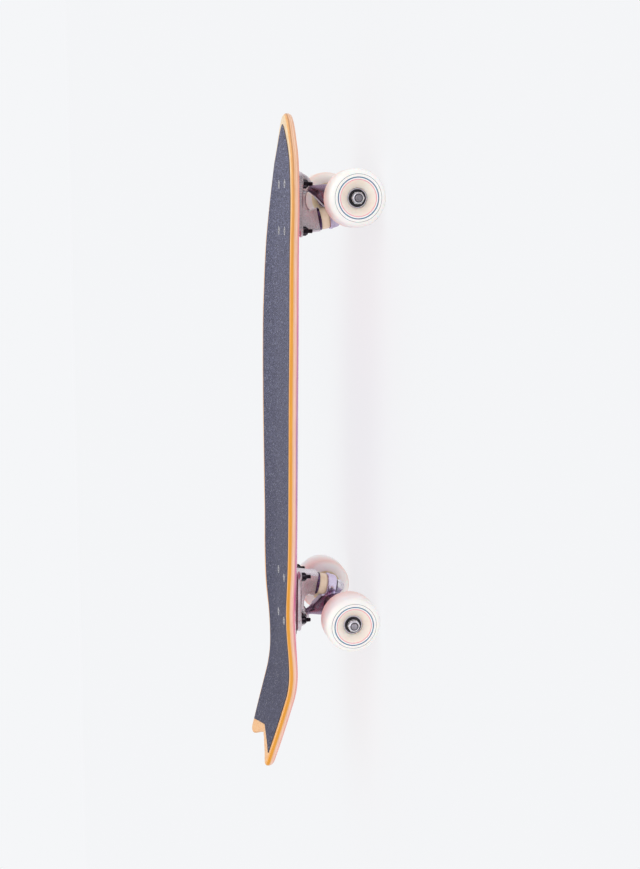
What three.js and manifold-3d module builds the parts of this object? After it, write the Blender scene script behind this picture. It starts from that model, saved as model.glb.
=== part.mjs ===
// Surf skateboard: a fish-tailed maple deck on two steering trucks with four soft wheels.
// Millimetres, +Z up, +X towards the nose. The origin is on the ground under the middle of the deck.

import * as THREE from 'three';
import { mergeVertices } from 'three/addons/utils/BufferGeometryUtils.js';
import Module from 'manifold-3d';

const wasm = await Module();
wasm.setup();

// Board
const deckLength = 770.4;
const deckWidth = 206;
const deckThickness = 10.2;
const deckEdgeRadius = 3;
const tipEdgeRadius = 4.8;
const tipReach = 26;
const gripThickness = 0.9;
const gripMargin = 6;
const gripTipReach = 42;
const noseToFrontTruck = 107.6;
const truckSpacing = 467.2;
const trackFlatHalfWidth = 30;
const concaveRise = 9.4;
const kickAngle = THREE.MathUtils.degToRad(16.7);
const kickLength = 124;
const kickBend = 46;
const tailNotchDepth = 20.5;

// Riser and baseplate
const boltSpacingX = 53.98;
const boltSpacingY = 41.28;
const riserThickness = 3.2;
const riserLength = 79;
const riserWidth = 56;
const riserShift = 6;
const plateThickness = 5.7;
const plateLength = 73.5;
const plateWidth = 55;
const plateShift = 3.75;
const blockHalfWidth = 13;
const bossHalfWidth = 11;

// Steering geometry, in the truck's frame: x outboard of the bolt pattern, z below the baseplate's back
const truckHeight = 53;
const axleOffset = 10.6;
const seatOffset = -13.5;
const seatDepth = 26.5;
const kingpinLean = THREE.MathUtils.degToRad(11);
const pivotOffset = 24.5;
const pivotDepth = 11.4;

// Kingpin stack, from the seat towards the nut
const kingpinRadius = 4.76;
const kingpinLength = 36.7;
const kingpinHeadRadius = 7.4;
const kingpinHeadHeight = 4.2;
const bushingRadius = 12.9;
const bushingHeight = 12.8;
const bushingDraw = 1.2;
const cupDraw = 1.7;
const lowerBushingRadius = 9.6;
const lowerBushingHeight = 6.5;
const upperWasherHeight = 3.3;
const lowerWasherRadius = 8;
const lowerWasherHeight = 1.4;
const washerWall = 0.9;
const washerOverhang = 0.5;
const kingpinNutFlats = 14.29;
const kingpinNutHeight = 7.2;

// Hanger
const collarWall = 1.5;
const collarHeight = 3.4;
const collarStep = 0.8;
const domeHeight = 8.5;
const domeEndWall = 1;
const ringSeatDepth = 1.3;
const ringWebThickness = 4.6;
const pivotBallRadius = 4.4;
const legRootRadius = 13.6;
const beamEndRadius = 9.1;
const beamRootRadius = 13.6;
const hangerLength = 154.8;
const hangerShoulderRadius = 5.8;
const hangerShoulderLength = 1.6;
const webHalfWidth = 9;

// Pivot cup
const pivotCupWall = 2.05;
const pivotCupDepth = 12.6;

// Axle, bearings and wheels
const axleRadius = 3.97;
const axleLength = 221.4;
const bearingRadius = 11;
const bearingWidth = 7;
const bearingRaceLand = 1.6;
const bearingShieldDepth = 0.4;
const bearingSpacing = 10;
const speedWasherRadius = 6.4;
const speedWasherHeight = 0.8;
const axleNutFlats = 12.7;
const axleNutHeight = 6.3;
const wheelRadius = 32.5;
const wheelWidth = 42;
const wheelLipProud = 7;
const wheelLipRadius = 8.2;
const wheelFaceRadius = 24.4;
const hubMouthRadius = 19.8;
const hubSeatLand = 0.7;
const hubRibRadius = 9;

// Deck fasteners
const boltRadius = 2.42;
const boltLength = 33;
const boltHeadRadius = 4.75;
const boltHeadHeight = 2.6;
const boltSocketRadius = 1.6;
const boltSocketDepth = 1.8;
const deckNutFlats = 9.5;
const deckNutHeight = 6.2;
const nutCollarHeight = 1.3;
const nutCollarStep = 0.5;
const threadChamfer = 0.7;

// Cast and moulded details
const plateCorner = 8;
const castChamfer = 2.4;
const beamLift = 4;
const cupChamfer = 1.2;
const cupFlare = 0.7;
const headSlope = (boltHeadRadius - boltRadius) / boltHeadHeight;

// Clearances
const seatGap = 0.3;
const fitGap = 0.3;
const ballGap = 0.55;
const tiltRoom = 1.2;
const boltClearance = 0.35;
const headClearance = 0.4;
const overrun = 1;
const weldTolerance = 1e-4;

// Facets
const wheelFacets = 24;
const turnedFacets = 16;
const smallFacets = 12;
const boltFacets = 8;
const beamFacets = 12;
const outlineRows = 27;
const nutSides = 6;
const cupArcSteps = 3;
const ballArcSteps = 5;
const ballArcShare = 0.75;
const domeSteps = 3;
const lipSteps = 2;
const rowEaseShare = 0.82;

// Heights above the ground and along the board
const axleHeight = wheelRadius;
const mountHeight = axleHeight + truckHeight;
const deckBottom = mountHeight + seatGap + riserThickness + seatGap;
const deckTop = deckBottom + deckThickness;
const gripBottom = deckTop + seatGap;
const gripTop = gripBottom + gripThickness;
const noseX = deckLength / 2;
const frontTruckX = noseX - noseToFrontTruck;
const rearTruckX = frontTruckX - truckSpacing;

// Points and directions in the truck's XZ plane
const kingpinAxis = new THREE.Vector3(Math.sin(kingpinLean), 0, -Math.cos(kingpinLean));
const seatPoint = new THREE.Vector3(seatOffset, 0, -seatDepth);
const ballPoint = new THREE.Vector3(pivotOffset, 0, -pivotDepth);
const axlePoint = new THREE.Vector3(axleOffset, 0, -truckHeight);
const legAxis = axlePoint.clone().sub(ballPoint).normalize();
const lateralAxis = new THREE.Vector3(0, 1, 0);

// Radii that follow from what they hold, with room for the hanger to tilt
const upperWasherRadius = bushingRadius + washerOverhang;
const lowerBushingEndRadius = lowerWasherRadius - washerWall - 2 * fitGap;
const collarRadius = bushingRadius + collarWall;
const ringMouthRadius = lowerBushingRadius + tiltRoom;
const domeEndRadius = ringMouthRadius + domeEndWall;
const kingpinHoleRadius = kingpinRadius + tiltRoom;
const pivotCupRadius = pivotBallRadius + ballGap + pivotCupWall;

// Reaches along the kingpin from its seat, and along the leg from the ball's centre
const bushingBase = seatGap + washerWall + seatGap;
const ringSeatFloor = bushingBase + bushingHeight + seatGap;
const collarStart = ringSeatFloor - ringSeatDepth;
const lowerBushingBase = ringSeatFloor + ringWebThickness + seatGap;
const lowerWasherEnd = lowerBushingBase + lowerBushingHeight + seatGap + washerWall;
const kingpinNutBase = lowerWasherEnd + seatGap;
const headTop = kingpinHeadRadius * Math.tan(kingpinLean) + headClearance - seatDepth / Math.cos(kingpinLean);
const cupBottom = -(pivotBallRadius + ballGap + pivotCupWall);

// Stations along the wheel's axle, measured from the board's centre plane
const hangerHalf = hangerLength / 2;
const innerBearingFace = hangerHalf + seatGap;
const ribInner = innerBearingFace + bearingWidth;
const ribOuter = ribInner + bearingSpacing;
const outerBearingFace = ribOuter + bearingWidth;
const wheelOuterFace = outerBearingFace + wheelLipProud;
const wheelInnerFace = wheelOuterFace - wheelWidth;

// Finishes
function finish(color, roughness, metalness) {
  return new THREE.MeshStandardMaterial({ color, roughness, metalness, flatShading: true });
}
const finishes = {
  wood: finish(0xe8a04c, 0.5, 0),
  grip: finish(0x46465a, 0.95, 0),
  riser: finish(0x2a2428, 0.8, 0),
  castMetal: finish(0xa79daa, 0.35, 0.9),
  hangerMetal: finish(0x8f8090, 0.3, 0.9),
  cup: finish(0x1c1a1c, 0.7, 0),
  steel: finish(0xc9c8ce, 0.25, 1),
  washer: finish(0xb9a8c8, 0.25, 1),
  bushing: finish(0xecd9b4, 0.55, 0),
  urethane: finish(0xf6ece2, 0.45, 0),
  bearing: finish(0x34323a, 0.4, 0.6),
  blackSteel: finish(0x17151a, 0.45, 0.8),
};

// Closed surfaces
function weld(geometry) {
  const bare = geometry.clone();
  bare.deleteAttribute('normal');
  bare.deleteAttribute('uv');
  const merged = mergeVertices(bare, weldTolerance);
  const corners = merged.index.array;
  const kept = [];
  for (let i = 0; i < corners.length; i += 3) {
    const [a, b, c] = [corners[i], corners[i + 1], corners[i + 2]];
    if (a !== b && b !== c && c !== a) kept.push(a, b, c);
  }
  if (signedVolume(merged.attributes.position, kept) < 0) kept.reverse();
  merged.setIndex(kept);
  return merged;
}

function signedVolume(position, corners) {
  const [a, b, c] = [new THREE.Vector3(), new THREE.Vector3(), new THREE.Vector3()];
  let volume = 0;
  for (let i = 0; i < corners.length; i += 3) {
    a.fromBufferAttribute(position, corners[i]);
    b.fromBufferAttribute(position, corners[i + 1]);
    c.fromBufferAttribute(position, corners[i + 2]);
    volume += a.dot(b.cross(c));
  }
  return volume;
}

function solid(geometry) {
  const welded = weld(geometry);
  return new wasm.Manifold(new wasm.Mesh({
    numProp: 3,
    vertProperties: new Float32Array(welded.attributes.position.array),
    triVerts: new Uint32Array(welded.index.array),
  }));
}

function geometryOf(manifold) {
  const { vertProperties, triVerts } = manifold.getMesh();
  const geometry = new THREE.BufferGeometry();
  geometry.setAttribute('position', new THREE.BufferAttribute(vertProperties, 3));
  geometry.setIndex(new THREE.BufferAttribute(triVerts, 1));
  geometry.computeVertexNormals();
  return geometry;
}

function join(first, ...others) {
  return others.reduce((whole, next) => whole.add(next), first);
}

function cut(body, ...tools) {
  return tools.reduce((rest, tool) => rest.subtract(tool), body);
}

// A surface through rings of equal length, closed at both ends by fans
function loft(rings) {
  const count = rings[0].length;
  const points = rings.flat();
  const corners = [];
  for (let r = 0; r + 1 < rings.length; r++) {
    for (let i = 0; i < count; i++) {
      const a = r * count + i;
      const b = r * count + (i + 1) % count;
      corners.push(a, b, b + count, a, b + count, a + count);
    }
  }
  for (const [start, turn] of [[0, -1], [(rings.length - 1) * count, 1]]) {
    const middle = new THREE.Vector3();
    for (let i = 0; i < count; i++) middle.addScaledVector(points[start + i], 1 / count);
    points.push(middle);
    for (let i = 0; i < count; i++) {
      const pair = [start + i, start + (i + 1) % count];
      if (turn < 0) pair.reverse();
      corners.push(points.length - 1, ...pair);
    }
  }
  return indexed(points, corners);
}

function indexed(points, corners) {
  const geometry = new THREE.BufferGeometry().setFromPoints(points);
  geometry.setIndex(corners);
  return geometry;
}

// A profile of [radius, reach] pairs turned about a line
function turned(profile, facets, base, direction, phase = 0) {
  const lathe = new THREE.LatheGeometry(profile.map(([r, s]) => new THREE.Vector2(r, s)), facets, phase);
  const spin = new THREE.Quaternion().setFromUnitVectors(lateralAxis, direction);
  lathe.applyQuaternion(spin);
  lathe.translate(base.x, base.y, base.z);
  return lathe;
}

function turnedRing(profile, facets, base, direction, phase = 0) {
  return turned([...profile, profile[0]], facets, base, direction, phase);
}

function rod(radius, from, to, facets, base, direction) {
  return turned([[0, from], [radius, from], [radius, to], [0, to]], facets, base, direction);
}

// A prism whose flats lie at the radius, for holes and nuts
function prism(radius, from, to, facets, base, direction) {
  return solid(rod(radius / Math.cos(Math.PI / facets), from, to, facets, base, direction));
}

// A flat outline in the truck's XZ plane, given a width along Y and chamfered edges
function sideProfile(points, halfWidth, chamfer) {
  const shape = new THREE.Shape(points.map(([x, z]) => new THREE.Vector2(x, z)));
  const slab = new THREE.ExtrudeGeometry(shape, {
    depth: 2 * (halfWidth - chamfer),
    bevelThickness: chamfer,
    bevelSize: chamfer,
    bevelOffset: -chamfer,
    bevelSegments: 1,
    curveSegments: boltFacets,
  });
  slab.translate(0, 0, chamfer - halfWidth);
  slab.rotateX(Math.PI / 2);
  return slab;
}

function roundedPlate(length, width, radius, thickness) {
  const [x, y] = [length / 2, width / 2];
  const shape = new THREE.Shape();
  shape.moveTo(x, radius - y);
  shape.absarc(x - radius, y - radius, radius, 0, Math.PI / 2);
  shape.absarc(radius - x, y - radius, radius, Math.PI / 2, Math.PI);
  shape.absarc(radius - x, radius - y, radius, Math.PI, 1.5 * Math.PI);
  shape.absarc(x - radius, radius - y, radius, 1.5 * Math.PI, 2 * Math.PI);
  return new THREE.ExtrudeGeometry(shape, { depth: thickness, bevelEnabled: false, curveSegments: 4 });
}

const up = new THREE.Vector3(0, 0, 1);
const down = new THREE.Vector3(0, 0, -1);

// The four holes in the truck's frame
const boltPlaces = [['outer', 1], ['inner', -1]].flatMap(([name, along]) => [1, -1].map(across => (
  { name, x: along * boltSpacingX / 2, y: across * boltSpacingY / 2 }
)));

// Deck outline: shares of the deck's length from the nose, of its half width, and of the concave's rise
const outlineShares = [
  [0, 0, 0],
  [0.01, 0.175, 0],
  [0.039, 0.374, 0.02],
  [0.065, 0.545, 0.1],
  [0.091, 0.648, 0.21],
  [0.143, 0.802, 0.46],
  [0.195, 0.892, 0.72],
  [0.26, 0.956, 0.88],
  [0.326, 1, 0.97],
  [0.43, 0.985, 1],
  [0.534, 0.952, 0.95],
  [0.638, 0.906, 0.9],
  [0.69, 0.88, 0.95],
  [0.742, 0.803, 0.97],
  [0.768, 0.76, 0.86],
  [0.794, 0.728, 0.66],
  [0.82, 0.738, 0.48],
  [0.846, 0.748, 0.38],
  [0.872, 0.739, 0.3],
  [0.898, 0.71, 0.26],
  [0.924, 0.688, 0.2],
  [0.95, 0.662, 0.15],
  [0.979, 0.625, 0.1],
];
// Tail outline: shares of the half width at the tail's corner, and of the notch's depth
const tailShares = [
  [0, 0],
  [0.3, 0.35],
  [0.55, 0.67],
  [0.71, 0.9],
  [0.82, 1],
  [0.92, 0.92],
  [0.98, 0.66],
  [1, 0.22],
];
// The grip's tail in the same terms, with sharp tips where the wood's are round
const gripTailShares = [
  [0, 0],
  [0.3, 0.31],
  [0.56, 0.58],
  [0.76, 0.79],
  [0.87, 0.91],
  [0.92, 0.96],
  [0.96, 1],
  [1, 0.93],
];
const gripNoseShare = 2.1;
const gripNoseCurve = 0.74;
const gripNoseEase = 1.6;
const gripCornerShare = 0.8;
const gripNotchShare = 1.75;
const gripTipShare = 0.67;
const tailBlendShare = 0.2;

function smooth(rows, column, at) {
  const last = rows.length - 1;
  const k = Math.min(Math.max(rows.findIndex(row => row[0] > at) - 1, 0), last - 1);
  const i = at >= rows[last][0] ? last - 1 : k;
  const slope = j => {
    const [p, q] = [rows[Math.max(j - 1, 0)], rows[Math.min(j + 1, last)]];
    return (q[column] - p[column]) / (q[0] - p[0]);
  };
  const span = rows[i + 1][0] - rows[i][0];
  const t = Math.min(Math.max((at - rows[i][0]) / span, 0), 1);
  const [a, b] = [rows[i][column], rows[i + 1][column]];
  const [da, db] = [slope(i) * span, slope(i + 1) * span];
  return a + da * t + (3 * (b - a) - 2 * da - db) * t * t + (2 * (a - b) + da + db) * t ** 3;
}

// The nose comes out round because the spline runs through squared widths
const squaredShares = outlineShares.map(([along, across]) => [along, across * across]);

function halfWidthAt(x) {
  const share = (noseX - x) / deckLength;
  return deckWidth / 2 * Math.sqrt(Math.max(smooth(squaredShares, 1, share), 0));
}

function kickHeight(x) {
  const past = noseX - x - (deckLength - kickLength);
  if (past <= 0) return 0;
  const bendRadius = kickBend / Math.sin(kickAngle);
  if (past < kickBend) return bendRadius - Math.sqrt(bendRadius ** 2 - past ** 2);
  return bendRadius * (1 - Math.cos(kickAngle)) + (past - kickBend) * Math.tan(kickAngle);
}

// Height of the bent top sheet above its flat middle
function sheetHeight(x, y) {
  const rise = concaveRise * smooth(outlineShares, 2, (noseX - x) / deckLength);
  const reach = Math.max(halfWidthAt(x), trackFlatHalfWidth + overrun) - trackFlatHalfWidth;
  const share = Math.max(Math.abs(y) - trackFlatHalfWidth, 0) / reach;
  return kickHeight(x) + rise * Math.min(share, 1) ** 2;
}

// Half of the deck's plan outline, from the nose tip to the tail's corner and on to the notch
function deckOutline() {
  const cornerX = noseX - deckLength * outlineShares[outlineShares.length - 1][0];
  const points = [];
  for (let i = 0; i < outlineRows; i++) {
    const q = i / (outlineRows - 1);
    const eased = rowEaseShare * (1 - Math.cos(Math.PI * q)) / 2 + (1 - rowEaseShare) * q;
    const x = noseX + (cornerX - noseX) * eased;
    points.push({ x, y: halfWidthAt(x) });
  }
  return points.concat(tailLine(points[outlineRows - 1], tailNotchDepth - noseX, tailNotchDepth, tailShares));
}

function tailLine(corner, notchX, depth, shares) {
  const line = shares.map(([across, along]) => ({ x: notchX - depth * along, y: corner.y * across }));
  corner.x = line[line.length - 1].x;
  return line.slice(0, -1).reverse();
}

// The deck's edge is rounder at the nose and at the tail's tips
function edgeRadiusAt(x) {
  const toTip = deckLength / 2 - Math.abs(x);
  return deckEdgeRadius + (tipEdgeRadius - deckEdgeRadius) * Math.max(1 - toTip / tipReach, 0);
}

function insetOutline(outline, insetAt) {
  return outline.map((point, i) => {
    const inset = insetAt(point.x);
    const before = outline[i - 1] ?? { x: outline[1].x, y: -outline[1].y };
    const after = outline[i + 1] ?? { x: outline[i - 1].x, y: -outline[i - 1].y };
    const run = Math.hypot(after.x - before.x, after.y - before.y);
    const x = point.x - inset * (after.y - before.y) / run;
    return { x, y: point.y + inset * (after.x - before.x) / run };
  });
}

function gripOutline(outline) {
  const points = insetOutline(outline, () => gripMargin).slice(0, outlineRows);
  const tipX = noseX - gripMargin * gripNoseShare;
  const rows = points.findIndex(({ x }) => x < tipX - gripTipReach);
  const base = points[rows];
  for (let i = 0; i < rows; i++) {
    const share = (i / rows) ** gripNoseEase;
    points[i] = { x: tipX + (base.x - tipX) * share, y: base.y * share ** gripNoseCurve };
  }
  const corner = { ...outline[outlineRows - 1] };
  corner.y -= gripMargin * gripCornerShare;
  points[outlineRows - 1] = corner;
  const notchX = tailNotchDepth - noseX + gripMargin * gripNotchShare;
  return points.concat(tailLine(corner, notchX, tailNotchDepth * gripTipShare, gripTailShares));
}

// A sheet that follows the bent surface. Each layer is an outline and its drop below the top at an x;
// the first and last are filled by grids, and the ones between them are its edge
function bentSheet(layers, topHeight) {
  const points = [];
  const corners = [];
  const put = (x, y, drop) => points.push(new THREE.Vector3(x, y, topHeight + sheetHeight(x, y) - drop)) - 1;
  const grids = [layers[0], layers[layers.length - 1]].map(layer => gridRows(layer, put));
  const loops = layers.map(layer => edgeLoop(layer.outline).map(({ x, y }) => put(x, y, layer.drop(x))));
  grids.forEach((rows, side) => {
    for (let r = 0; r + 1 < rows.length; r++) {
      for (let c = 0; c + 1 < rows[r].length; c++) {
        const [a, b, d, e] = [rows[r][c], rows[r][c + 1], rows[r + 1][c], rows[r + 1][c + 1]];
        if (side === 0) corners.push(a, d, b, b, d, e);
        else corners.push(a, b, d, b, e, d);
      }
    }
  });
  for (let k = 0; k + 1 < loops.length; k++) {
    loops[k].forEach((a, i) => {
      const next = (i + 1) % loops[k].length;
      corners.push(a, loops[k + 1][i], loops[k + 1][next], a, loops[k + 1][next], loops[k][next]);
    });
  }
  return indexed(points, corners);
}

// Rows run from the nose to the tail and bend into the line of the tail's notch
function gridRows({ outline, drop }, put) {
  const corner = outline[outlineRows - 1];
  const half = outline.slice(outlineRows - 1);
  const tail = half.concat(half.slice(0, -1).reverse().map(({ x, y }) => ({ x, y: -y })));
  return outline.slice(0, outlineRows).map(side => {
    const away = (side.x - corner.x) / (tailBlendShare * deckLength);
    const blend = Math.max(1 - away, 0) ** 2;
    return tail.map(({ x, y }) => put(side.x + blend * (x - corner.x), side.y * y / corner.y, drop(x)));
  });
}

function edgeLoop(outline) {
  return outline.concat(outline.slice(1, -1).reverse().map(({ x, y }) => ({ x, y: -y })));
}

function makeDeck(outline, grip) {
  const edgeShares = [[1, 0], [0.29, 0.29], [0, 1]];
  const rim = edgeShares.map(([inward, lower]) => ({
    outline: insetOutline(outline, x => edgeRadiusAt(x) * inward),
    drop: x => edgeRadiusAt(x) * lower,
  }));
  const underRim = rim.map(layer => ({ ...layer, drop: x => deckThickness - layer.drop(x) }));
  const [top, bottom] = [0, deckThickness].map(drop => ({ outline: grip, drop: () => drop }));
  const layers = [top, ...rim, ...underRim.reverse(), bottom];
  const coneClearance = headClearance - (gripTop - deckTop) * headSlope;
  return cut(solid(bentSheet(layers, deckTop)), ...boltTools(deckTop, deckBottom, coneClearance));
}

function makeGrip(grip) {
  const layers = [0, gripThickness].map(drop => ({ outline: grip, drop: () => drop }));
  return cut(solid(bentSheet(layers, gripTop)), ...boltTools(gripTop, gripBottom, headClearance));
}

// Holes for the deck bolts: a cone for each head and a straight hole for its shank
function boltTools(top, bottom, clearance) {
  return [[frontTruckX, 1], [rearTruckX, -1]].flatMap(([truckX, facing]) => boltPlaces.map(({ x, y }) => {
    const base = new THREE.Vector3(truckX + facing * x, y, top);
    const wide = boltHeadRadius + clearance;
    const shank = boltRadius + boltClearance;
    const profile = [
      [0, -overrun],
      [wide + overrun * headSlope, -overrun],
      [shank, (wide - shank) / headSlope],
      [shank, top - bottom + overrun],
      [0, top - bottom + overrun],
    ];
    return solid(turned(profile, boltFacets, base, down));
  }));
}

// Riser pad and baseplate, in the truck's frame
function holesFor(radius, from, to) {
  return boltPlaces.map(({ x, y }) => prism(radius, from, to, boltFacets, new THREE.Vector3(x, y, 0), up));
}

function makeRiser() {
  const pad = roundedPlate(riserLength, riserWidth, plateCorner, riserThickness);
  pad.translate(riserShift, 0, seatGap);
  return cut(solid(pad), ...holesFor(boltRadius + boltClearance, 0, riserThickness + overrun));
}

// Outlines in the truck's XZ plane: shares of the plate's length outboard, and of the truck's height down
const blockShares = [
  [-0.422, 0.057],
  [-0.401, 0.245],
  [-0.367, 0.6],
  [0.015, 0.52],
  [-0.022, 0.4],
  [-0.034, 0.32],
  [0.012, 0.242],
  [0.09, 0.206],
  [0.18, 0.208],
  [0.25, 0.235],
  [0.27, 0.057],
];
const bossShares = [
  [0.19, 0.057],
  [0.238, 0.27],
  [0.37, 0.347],
  [0.442, 0.324],
  [0.5, 0.245],
  [0.539, 0.142],
  [0.544, 0.057],
];

function fromShares(shares) {
  return shares.map(([x, z]) => [x * plateLength, -z * truckHeight]);
}

function makeBaseplate() {
  const plate = roundedPlate(plateLength, plateWidth, plateCorner, plateThickness);
  plate.translate(plateShift, 0, -plateThickness);
  const body = join(
    solid(plate),
    solid(sideProfile(fromShares(blockShares), blockHalfWidth, castChamfer)),
    solid(sideProfile(fromShares(bossShares), bossHalfWidth, castChamfer)),
  );
  const aboutPin = [turnedFacets, seatPoint, kingpinAxis];
  const headEnd = headTop + kingpinHeadHeight + fitGap;
  const cupBase = cupBottom - fitGap;
  const seatTrim = prism(2 * blockHalfWidth, 0, truckHeight, ...aboutPin);
  return cut(
    body,
    seatTrim,
    prism(kingpinRadius + fitGap, -truckHeight, overrun, ...aboutPin),
    prism(kingpinHeadRadius + fitGap, -truckHeight, headEnd, ...aboutPin),
    prism(pivotCupRadius + fitGap, cupBase, cupBase + 2 * pivotCupDepth, turnedFacets, ballPoint, legAxis),
    ...holesFor(boltRadius + boltClearance, -plateThickness - overrun, overrun),
  );
}

function makePivotCup() {
  const hollow = pivotBallRadius + ballGap;
  const mouth = cupBottom + pivotCupDepth;
  const profile = [
    [0, cupBottom],
    [pivotCupRadius - cupChamfer, cupBottom],
    [pivotCupRadius, cupBottom + cupChamfer],
    [pivotCupRadius, mouth],
    [hollow + cupFlare, mouth],
  ];
  for (let i = 0; i < cupArcSteps; i++) {
    const angle = i / cupArcSteps * Math.PI / 2;
    profile.push([hollow * Math.cos(angle), -hollow * Math.sin(angle)]);
  }
  profile.push([0, -hollow]);
  return solid(turned(profile, smallFacets, ballPoint, legAxis));
}

// Hanger: shares of the leg's length and of its root radius, from the ball to the axle
const legShares = [
  [0.11, 0.31],
  [0.2, 0.345],
  [0.31, 0.49],
  [0.5, 0.775],
  [0.7, 0.97],
  [0.86, 1],
  [1, 0.9],
];
// Shares of the hanger's half length, of the beam's growth from end to root, and of its lift
const beamShares = [
  [1, 0, 0],
  [0.78, 0.07, 0],
  [0.55, 0.22, 0.05],
  [0.36, 0.5, 0.3],
  [0.2, 0.84, 0.7],
  [0, 1, 1],
];
// Shares of the pivot's offset outboard, and of the truck's height down
const webShares = [
  [0.56, 0.44],
  [0.3, 0.553],
  [-0.03, 0.7],
  [-0.41, 0.83],
  [-0.25, 1.03],
  [0.16, 1.15],
  [0.65, 1.1],
  [0.82, 0.76],
  [0.78, 0.5],
];

function makeLeg() {
  const profile = [];
  for (let i = 0; i <= ballArcSteps; i++) {
    const angle = (i / ballArcSteps - 0.5) * Math.PI * ballArcShare;
    const turn = angle - (1 - ballArcShare) * Math.PI / 2;
    profile.push([pivotBallRadius * Math.max(Math.cos(turn), 0), pivotBallRadius * Math.sin(turn)]);
  }
  profile[0][0] = 0;
  const legLength = axlePoint.distanceTo(ballPoint);
  for (const [along, across] of legShares) profile.push([legRootRadius * across, legLength * along]);
  profile.push([0, legLength]);
  return solid(turned(profile, smallFacets, ballPoint, legAxis));
}

function makeBeam() {
  const mirrored = beamShares.concat(beamShares.slice(0, -1).reverse().map(([y, r, l]) => [-y, r, l]));
  const reach = hangerHalf - hangerShoulderLength;
  return solid(loft(mirrored.map(([along, growth, lift]) => {
    const radius = beamEndRadius + (beamRootRadius - beamEndRadius) * growth;
    return ringOf(radius, axleOffset, along * reach, beamLift * lift - truckHeight);
  })));
}

function ringOf(radius, x, y, z) {
  const ring = [];
  for (let i = 0; i < beamFacets; i++) {
    const angle = i / beamFacets * 2 * Math.PI;
    ring.push(new THREE.Vector3(x + radius * Math.sin(angle), y, z + radius * Math.cos(angle)));
  }
  return ring;
}

function makeRingBoss() {
  const domeStart = collarStart + collarHeight;
  const profile = [[0, collarStart], [collarRadius, collarStart], [collarRadius, domeStart]];
  for (let i = 0; i <= domeSteps; i++) {
    const angle = i / domeSteps * Math.PI / 2;
    const radius = domeEndRadius + (collarRadius - collarStep - domeEndRadius) * Math.cos(angle);
    profile.push([radius, domeStart + domeHeight * Math.sin(angle)]);
  }
  profile.push([0, domeStart + domeHeight]);
  return solid(turned(profile, turnedFacets, seatPoint, kingpinAxis));
}

function makeHanger() {
  const aboutPin = [turnedFacets, seatPoint, kingpinAxis];
  const aboutAxle = [smallFacets, axlePoint, lateralAxis];
  const webOutline = webShares.map(([x, z]) => [x * pivotOffset, -z * truckHeight]);
  const web = sideProfile(webOutline, webHalfWidth, castChamfer);
  const bushingRoom = prism(collarRadius + fitGap, -truckHeight, collarStart, ...aboutPin);
  const arms = cut(join(makeLeg(), makeBeam(), solid(web)), bushingRoom);
  const shoulders = solid(rod(hangerShoulderRadius, -hangerHalf, hangerHalf, ...aboutAxle));
  return cut(
    join(arms, makeRingBoss(), shoulders),
    prism(bushingRadius + fitGap, collarStart - overrun, ringSeatFloor, ...aboutPin),
    prism(kingpinHoleRadius, collarStart, truckHeight, ...aboutPin),
    prism(ringMouthRadius, ringSeatFloor + ringWebThickness, truckHeight, ...aboutPin),
    prism(axleRadius + fitGap, -hangerLength, hangerLength, ...aboutAxle),
  );
}

// Kingpin and what is stacked on it
function makeKingpin() {
  const profile = [
    [0, headTop],
    [kingpinHeadRadius, headTop],
    [kingpinHeadRadius, headTop + kingpinHeadHeight],
    [kingpinRadius, headTop + kingpinHeadHeight],
    [kingpinRadius, kingpinLength - threadChamfer],
    [kingpinRadius - threadChamfer, kingpinLength],
    [0, kingpinLength],
  ];
  return solid(turned(profile, smallFacets, seatPoint, kingpinAxis));
}

// A cupped washer; a negative height turns its rim the other way
function makeCuppedWasher(radius, height, base) {
  const wall = Math.sign(height) * washerWall;
  const profile = [
    [kingpinRadius + fitGap, base],
    [radius, base],
    [radius, base + height],
    [radius - washerWall, base + height],
    [radius - washerWall, base + wall],
    [kingpinRadius + fitGap, base + wall],
  ];
  return solid(turnedRing(profile, turnedFacets, seatPoint, kingpinAxis));
}

function makeUpperBushing() {
  const [base, top] = [bushingBase, bushingBase + bushingHeight];
  const profile = [
    [kingpinRadius + fitGap, base],
    [bushingRadius - cupDraw, base],
    [bushingRadius, base + 2 * cupDraw],
    [bushingRadius, top - 2 * bushingDraw],
    [bushingRadius - bushingDraw, top],
    [kingpinRadius + fitGap, top],
  ];
  return solid(turnedRing(profile, turnedFacets, seatPoint, kingpinAxis));
}

function makeLowerBushing() {
  const [base, top] = [lowerBushingBase, lowerBushingBase + lowerBushingHeight];
  const profile = [
    [kingpinRadius + fitGap, base],
    [lowerBushingRadius, base],
    [lowerBushingRadius, base + bushingDraw],
    [lowerBushingEndRadius, top],
    [kingpinRadius + fitGap, top],
  ];
  return solid(turnedRing(profile, turnedFacets, seatPoint, kingpinAxis));
}

function makeKingpinNut() {
  const base = seatPoint.clone().addScaledVector(kingpinAxis, kingpinNutBase);
  return lockNut(kingpinNutFlats, kingpinNutHeight, kingpinRadius + fitGap, base, kingpinAxis);
}

// A hexagonal nut with the round collar that holds its locking ring
function lockNut(flats, height, holeRadius, base, direction) {
  const hex = prism(flats / 2, 0, height - nutCollarHeight, nutSides, base, direction);
  const collar = rod(flats / 2 - nutCollarStep, 0, height, smallFacets, base, direction);
  const hole = prism(holeRadius, -overrun, height + overrun, boltFacets, base, direction);
  return cut(join(hex, solid(collar)), hole);
}

// Axle, bearings and wheels: side is 1 towards +Y and -1 towards -Y
function onAxle(station, side) {
  return [new THREE.Vector3(axleOffset, side * station, -truckHeight), new THREE.Vector3(0, side, 0)];
}

function makeAxle() {
  const half = axleLength / 2;
  const end = axleRadius - threadChamfer;
  const profile = [[0, -half], [end, -half], [axleRadius, threadChamfer - half]];
  profile.push([axleRadius, half - threadChamfer], [end, half], [0, half]);
  return solid(turned(profile, smallFacets, axlePoint, lateralAxis));
}

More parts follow.
